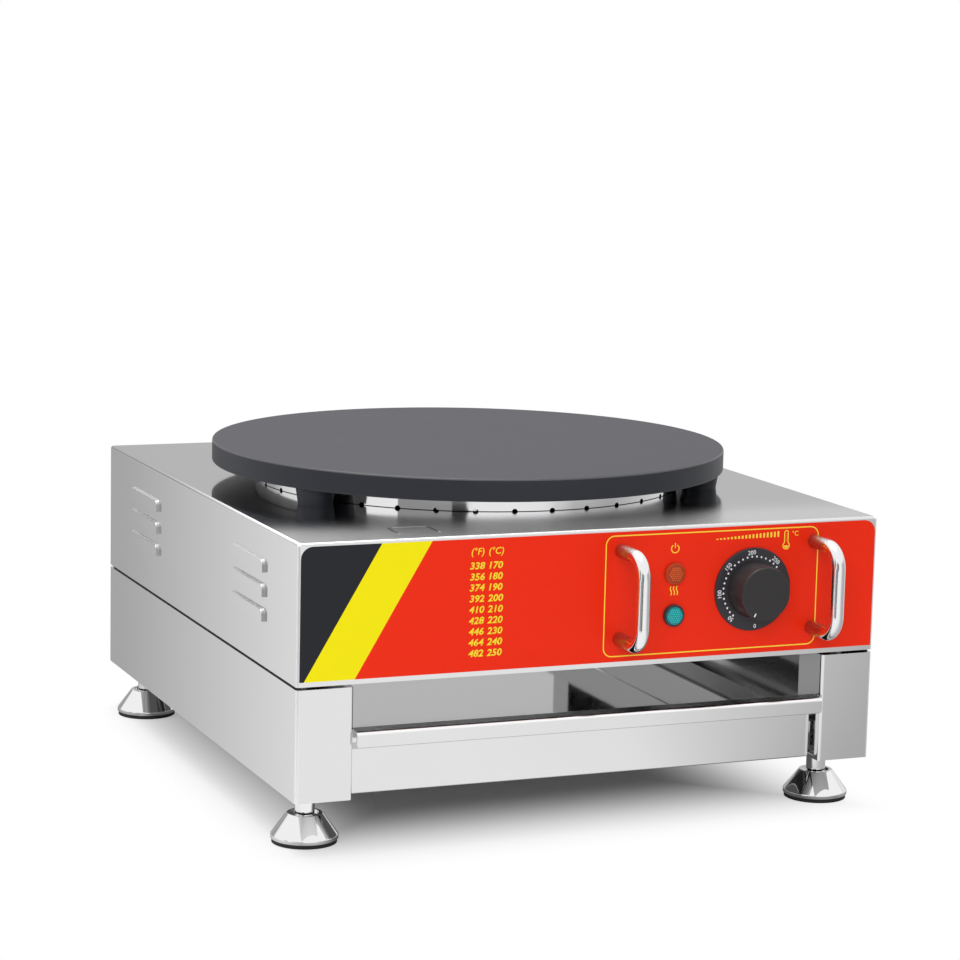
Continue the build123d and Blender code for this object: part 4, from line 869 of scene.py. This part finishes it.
# %% Dial digits
knob_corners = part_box("dial_plate")
knob_x = (knob_corners[0].x + knob_corners[1].x) / 2
knob_z = (knob_corners[0].z + knob_corners[1].z) / 2
dial_start, dial_sweep, dial_full = 175.0, 226.0, 250.0
digit_circle, dial_digit_height = 27.2 * mm, 3.2 * mm
dot_circle = 24.2 * mm
pointer_from, pointer_to, pointer_width = 15.7 * mm, 18.3 * mm, 0.9 * mm
pointer_turn = dial_start + 35.0


def dial_angle(heat):
    """Clockwise from the top, in degrees."""
    return dial_start + dial_sweep * heat / dial_full


def around_knob(circle, turn):
    """The (x, z) of a point on a circle around the knob, by degrees clockwise from the top."""
    return knob_x + circle * sin(radians(turn)), knob_z + circle * cos(radians(turn))


marks = bmesh.new()
for heat in range(0, 251, 50):
    turn = dial_angle(heat)
    written(marks, str(heat), *around_knob(digit_circle, turn), dial_digit_height, turn=turn,
            bold=0.05 * mm)
piece("dial_digits", raised(marks, dial_face), ink_for_dial, "frame")

marks = bmesh.new()
pointer = [around_knob(circle, pointer_turn) for circle in (pointer_from, pointer_to)]
ribbon(marks, pointer, pointer_width, closed=False)
piece("knob_pointer", raised(marks, cap_face), ink_for_dial, "knob")
print("200 degrees stands at", dial_angle(200) % 360, "degrees from the top")

# %% A recipe: Geometry Nodes that dress a mesh of points
def recipe(name, sizes):
    """A geometry tree with these named sizes as inputs, and the Term of its group input."""
    tree = bpy.data.node_groups.new(name, "GeometryNodeTree")
    for side in ("INPUT", "OUTPUT"):
        tree.interface.new_socket(name="Geometry", in_out=side, socket_type="NodeSocketGeometry")
    for size in sizes:
        tree.interface.new_socket(name=size, in_out="INPUT", socket_type="NodeSocketFloat")
    return Term(tree).node("NodeGroupInput")


def serve(start, geometry, finish):
    """Ends a recipe: instances made real, and one material over them."""
    real = start.node("GeometryNodeRealizeInstances", None, {"Geometry": geometry})
    dressed = start.node("GeometryNodeSetMaterial", None, {"Geometry": real, "Material": finish})
    start.node("NodeGroupOutput", None, {"Geometry": dressed})
    return start.tree


def grown(tree, places, sizes):
    """The plain mesh that a recipe makes on points at these places."""
    points = bpy.data.meshes.new("points")
    points.from_pydata(places, [], [])
    carrier = bpy.data.objects.new(tree.name, points)
    add_object(carrier)
    modifier = carrier.modifiers.new("recipe", "NODES")
    modifier.node_group = tree
    for item in tree.interface.items_tree:
        if item.in_out == "INPUT" and item.name in sizes:
            modifier[item.identifier] = sizes[item.name]
    evaluated = carrier.evaluated_get(bpy.context.evaluated_depsgraph_get())
    mesh = bpy.data.meshes.new_from_object(evaluated)
    bpy.data.objects.remove(carrier)
    return mesh


print("recipe helpers ready")

# %% Dial dots
dot_sizes = {"Dot Radius": 0.75 * mm, "Dot Height": ink_height + ink_sunk}
dot_y = dial_face - ink_height / 2 + ink_sunk
start = recipe("dial_dots", dot_sizes)
disc = start.node("GeometryNodeMeshCylinder", {"fill_type": "NGON"},
                  {"Vertices": 12, "Radius": start.other("Dot Radius"),
                   "Depth": start.other("Dot Height")})
dots = start.node("GeometryNodeInstanceOnPoints", None,
                  {"Points": start.other("Geometry"), "Instance": disc, "Rotation": (pi / 2, 0, 0)})
tree = serve(start, dots, ink_for_dial)
dot_spots = [around_knob(dot_circle, dial_angle(heat)) for heat in range(50, 261, 10)]
dot_places = [(x, dot_y, z) for x, z in dot_spots]
mesh = grown(tree, dot_places, dot_sizes)
piece("dial_dots", mesh, ink_for_dial, "frame")
print("dots", len(dot_places))

# %% [markdown]
# ## Lamp lenses
# The lenses are prismatic: small six-sided points cover the crown and scatter the light
# of the lamp behind it. They sit on a honeycomb, and each one leans with the crown,
# because the recipe turns it away from the centre that the crown is struck from.

# %% Prism points on the lenses
lens_crown = 1.2 * mm
prism_pitch = 1.7 * mm
prism_sunk = 0.03 * mm   # below the crown
prism_sizes = {"Point Radius": 0.7 * mm, "Point Height": 0.4 * mm}
comb_steps = range(-6, 7)
start = recipe("prism_points", prism_sizes)
prism = start.node("GeometryNodeMeshCone", {"fill_type": "NGON"},
                   {"Vertices": 6, "Radius Top": 0.0, "Radius Bottom": start.other("Point Radius"),
                    "Depth": start.other("Point Height")})
away = start.node("FunctionNodeAlignRotationToVector", {"axis": "Z"},
                  {"Vector": start.node("GeometryNodeInputPosition")})
prisms = start.node("GeometryNodeInstanceOnPoints", None,
                    {"Points": start.other("Geometry"), "Instance": prism, "Rotation": away})
prism_tree = serve(start, prisms, red_lens)
for lamp, slot, finish in (("power_lamp", "red_lens", red_prism),
                           ("heat_lamp", "green_lens", green_prism)):
    low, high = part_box(lamp + "_lens")
    lens_radius = (high.x - low.x) / 2
    strike = (lens_radius ** 2 + lens_crown ** 2) / (2 * lens_crown)
    comb = [(prism_pitch * (column + row % 2 / 2), prism_pitch * sqrt(3) / 2 * row)
            for row in comb_steps for column in comb_steps]
    inside = [(x, z) for x, z in comb if hypot(x, z) < lens_radius - prism_pitch / 2]
    crown_points = [(x, -sqrt((strike - prism_sunk) ** 2 - x * x - z * z), z) for x, z in inside]
    mesh = grown(prism_tree, crown_points, prism_sizes)
    centre = (low.x + high.x) / 2, low.y + strike, (low.z + high.z) / 2
    mesh.transform(Matrix.Translation(centre))
    piece(lamp + "_prisms", mesh, finish, "frame")
print("prism points on each lens", len(inside))

# %% [markdown]
# ## Screws
# The screws of the base and the rear panel get pan heads with a cross recess. One
# recipe shapes a head from half a flattened ball, cuts two bars out of it, adds the
# shank, and puts the result on each point. The screws are grown upright and then turned
# to the face they go in.

# %% Pan head screws
head_radius, head_height = 4.0 * mm, 2.4 * mm
screw_sizes = {"Head Radius": head_radius, "Head Height": head_height,
               "Recess Reach": 2.3 * mm, "Recess Width": 0.9 * mm, "Recess Depth": 1.3 * mm,
               "Shank Radius": 2.0 * mm, "Shank Length": 6.4 * mm}
start = recipe("pan_head_screws", screw_sizes)


def xyz(x, y, z):
    return start.node("ShaderNodeCombineXYZ", None, {0: x, 1: y, 2: z})


def lifted(shape, lift):
    return start.node("GeometryNodeTransform", None,
                      {"Geometry": shape, "Translation": xyz(0.0, 0.0, lift)})


def block(size, lift):
    return lifted(start.node("GeometryNodeMeshCube", None, {"Size": size}), lift)


radius, height = start.other("Head Radius"), start.other("Head Height")
reach, width = start.other("Recess Reach") * 2, start.other("Recess Width")
depth = start.other("Recess Depth") * 2
ball = start.node("GeometryNodeMeshUVSphere", None, {"Segments": 40, "Rings": 20, "Radius": 1.0})
ball = start.node("GeometryNodeTransform", None,
                  {"Geometry": ball, "Scale": xyz(radius, radius, height)})
under = block(xyz(radius * 4, radius * 4, radius * 4), radius * -2)
bars = [block(xyz(reach, width, depth), height), block(xyz(width, reach, depth), height)]
head = start.node("GeometryNodeMeshBoolean", {"operation": "DIFFERENCE", "solver": "EXACT"},
                  {"Mesh 1": ball, "Mesh 2": [under] + bars})
length = start.other("Shank Length")
shank = start.node("GeometryNodeMeshCylinder", {"fill_type": "NGON"},
                   {"Vertices": 24, "Radius": start.other("Shank Radius"), "Depth": length})
screw = start.node("GeometryNodeJoinGeometry", None,
                   {"Geometry": [head, lifted(shank, length / -2)]})
screws = start.node("GeometryNodeInstanceOnPoints", None,
                    {"Points": start.other("Geometry"), "Instance": screw})
screw_tree = serve(start, screws, screw_steel)


def panel_screws(low, high, axis, place):
    """Two rows of three screws in the box of the packed ones. Place is the upper three rows
    of the matrix that brings them to their face."""
    rows = (low[axis] + head_radius, high[axis] - head_radius)
    columns = (low.x + head_radius, 0, high.x - head_radius)
    points = [(x, row, 0) for x in columns for row in rows]
    mesh = grown(screw_tree, points, screw_sizes)
    mesh.transform(Matrix((*place, (0, 0, 0, 1))))
    return mesh


low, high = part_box("rear_panel_screws")
mesh = panel_screws(low, high, 2, ((-1, 0, 0, 0), (0, 0, 1, high.y - head_height), (0, 1, 0, 0)))
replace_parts(piece("rear_panel_pan_heads", mesh, screw_steel, "frame"),
            "rear_panel_screws")

low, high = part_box("base_screws")
mesh = panel_screws(low, high, 1, ((-1, 0, 0, 0), (0, 1, 0, 0), (0, 0, -1, low.z + head_height)))
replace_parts(piece("base_pan_heads", mesh, screw_steel, "frame"), "base_screws")
print("faces in one set of screws", len(mesh.polygons))

# %% [markdown]
# ## Pressed bead
# Near the left front corner a low bead is pressed up in the worktop, like a bracket
# open to the front. It is a soft ridge swept along its outline.

# %% Bead in the worktop
bead_left, bead_right = -144.0 * mm, -114.0 * mm
bead_front, bead_back = -212.0 * mm, -187.0 * mm
bead_corner = 5.0 * mm
bead_width, bead_height, bead_sunk = 2.4 * mm, 0.24 * mm, 0.04 * mm
bead_end = 0.3 * mm
bead_steps = 24
outline = [(bead_left, bead_front), (bead_left, bead_front + bead_end)]
for bend_x, start in ((bead_left + bead_corner, 180), (bead_right - bead_corner, 90)):
    outline += arc(bend_x, bead_back - bead_corner, bead_corner, start, start - 90, corner_steps)
outline += [(bead_right, bead_front + bead_end), (bead_right, bead_front)]
section = [(cos(pi * step / bead_steps), sin(pi * step / bead_steps) ** 2)
           for step in range(bead_steps + 1)]
bead = bmesh.new()
rings = []
for index, (x, y) in enumerate(outline):
    before, after = outline[max(index - 1, 0)], outline[min(index + 1, len(outline) - 1)]
    along = Vector((after[0] - before[0], after[1] - before[1])).normalized() * bead_width / 2
    rings.append([bead.verts.new((x + along.y * side, y - along.x * side,
                                  worktop - bead_sunk + bead_height * rise))
                  for side, rise in section])
for this, following in zip(rings, rings[1:]):
    for step in range(bead_steps + 1):
        bead.faces.new((this[step - 1], this[step], following[step], following[step - 1]))
bead.faces.new(rings[0])
bead.faces.new(reversed(rings[-1]))
bmesh.ops.recalc_face_normals(bead, faces=bead.faces)
mesh = meshed("worktop_bead", bead)
mesh.shade_smooth()
piece("worktop_bead", mesh, bead_steel, "frame")
print("bead is", round(bead_height / mm, 2), "mm high")

# %% [markdown]
# ## Painted shade strips in the gap
# The housing stands two millimetres above the chassis on spacers. Dark strips in the rubber
# finish close that gap a little behind both walls as painted shade, so that it reads as one
# dark line.

# %% Painted shade strips in the gap
gap_low, gap_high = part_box("chassis_right")[1].z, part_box("housing_shell")[0].z
strip_outside, strip_width, strip_end = 2.8 * mm, 1.4 * mm, 2.0 * mm
# painted shade: dark strips where the real gap holds only shade
strips = bmesh.new()
for side in (-1, 1):
    middle = (side * (wall_x - strip_outside - strip_width / 2),
              (left_front.y + right_back.y) / 2, (gap_low + gap_high) / 2)
    strip = strip_width, right_back.y - left_front.y - 2 * strip_end, gap_high - gap_low
    shape = Matrix.Translation(middle) @ Matrix.Diagonal((*strip, 1))
    bmesh.ops.create_cube(strips, size=1.0, matrix=shape)
piece("gap_shade_strips", meshed("gap_shade_strips", strips), rubber, "frame")
print("gap is", round((gap_high - gap_low) / mm, 2), "mm")
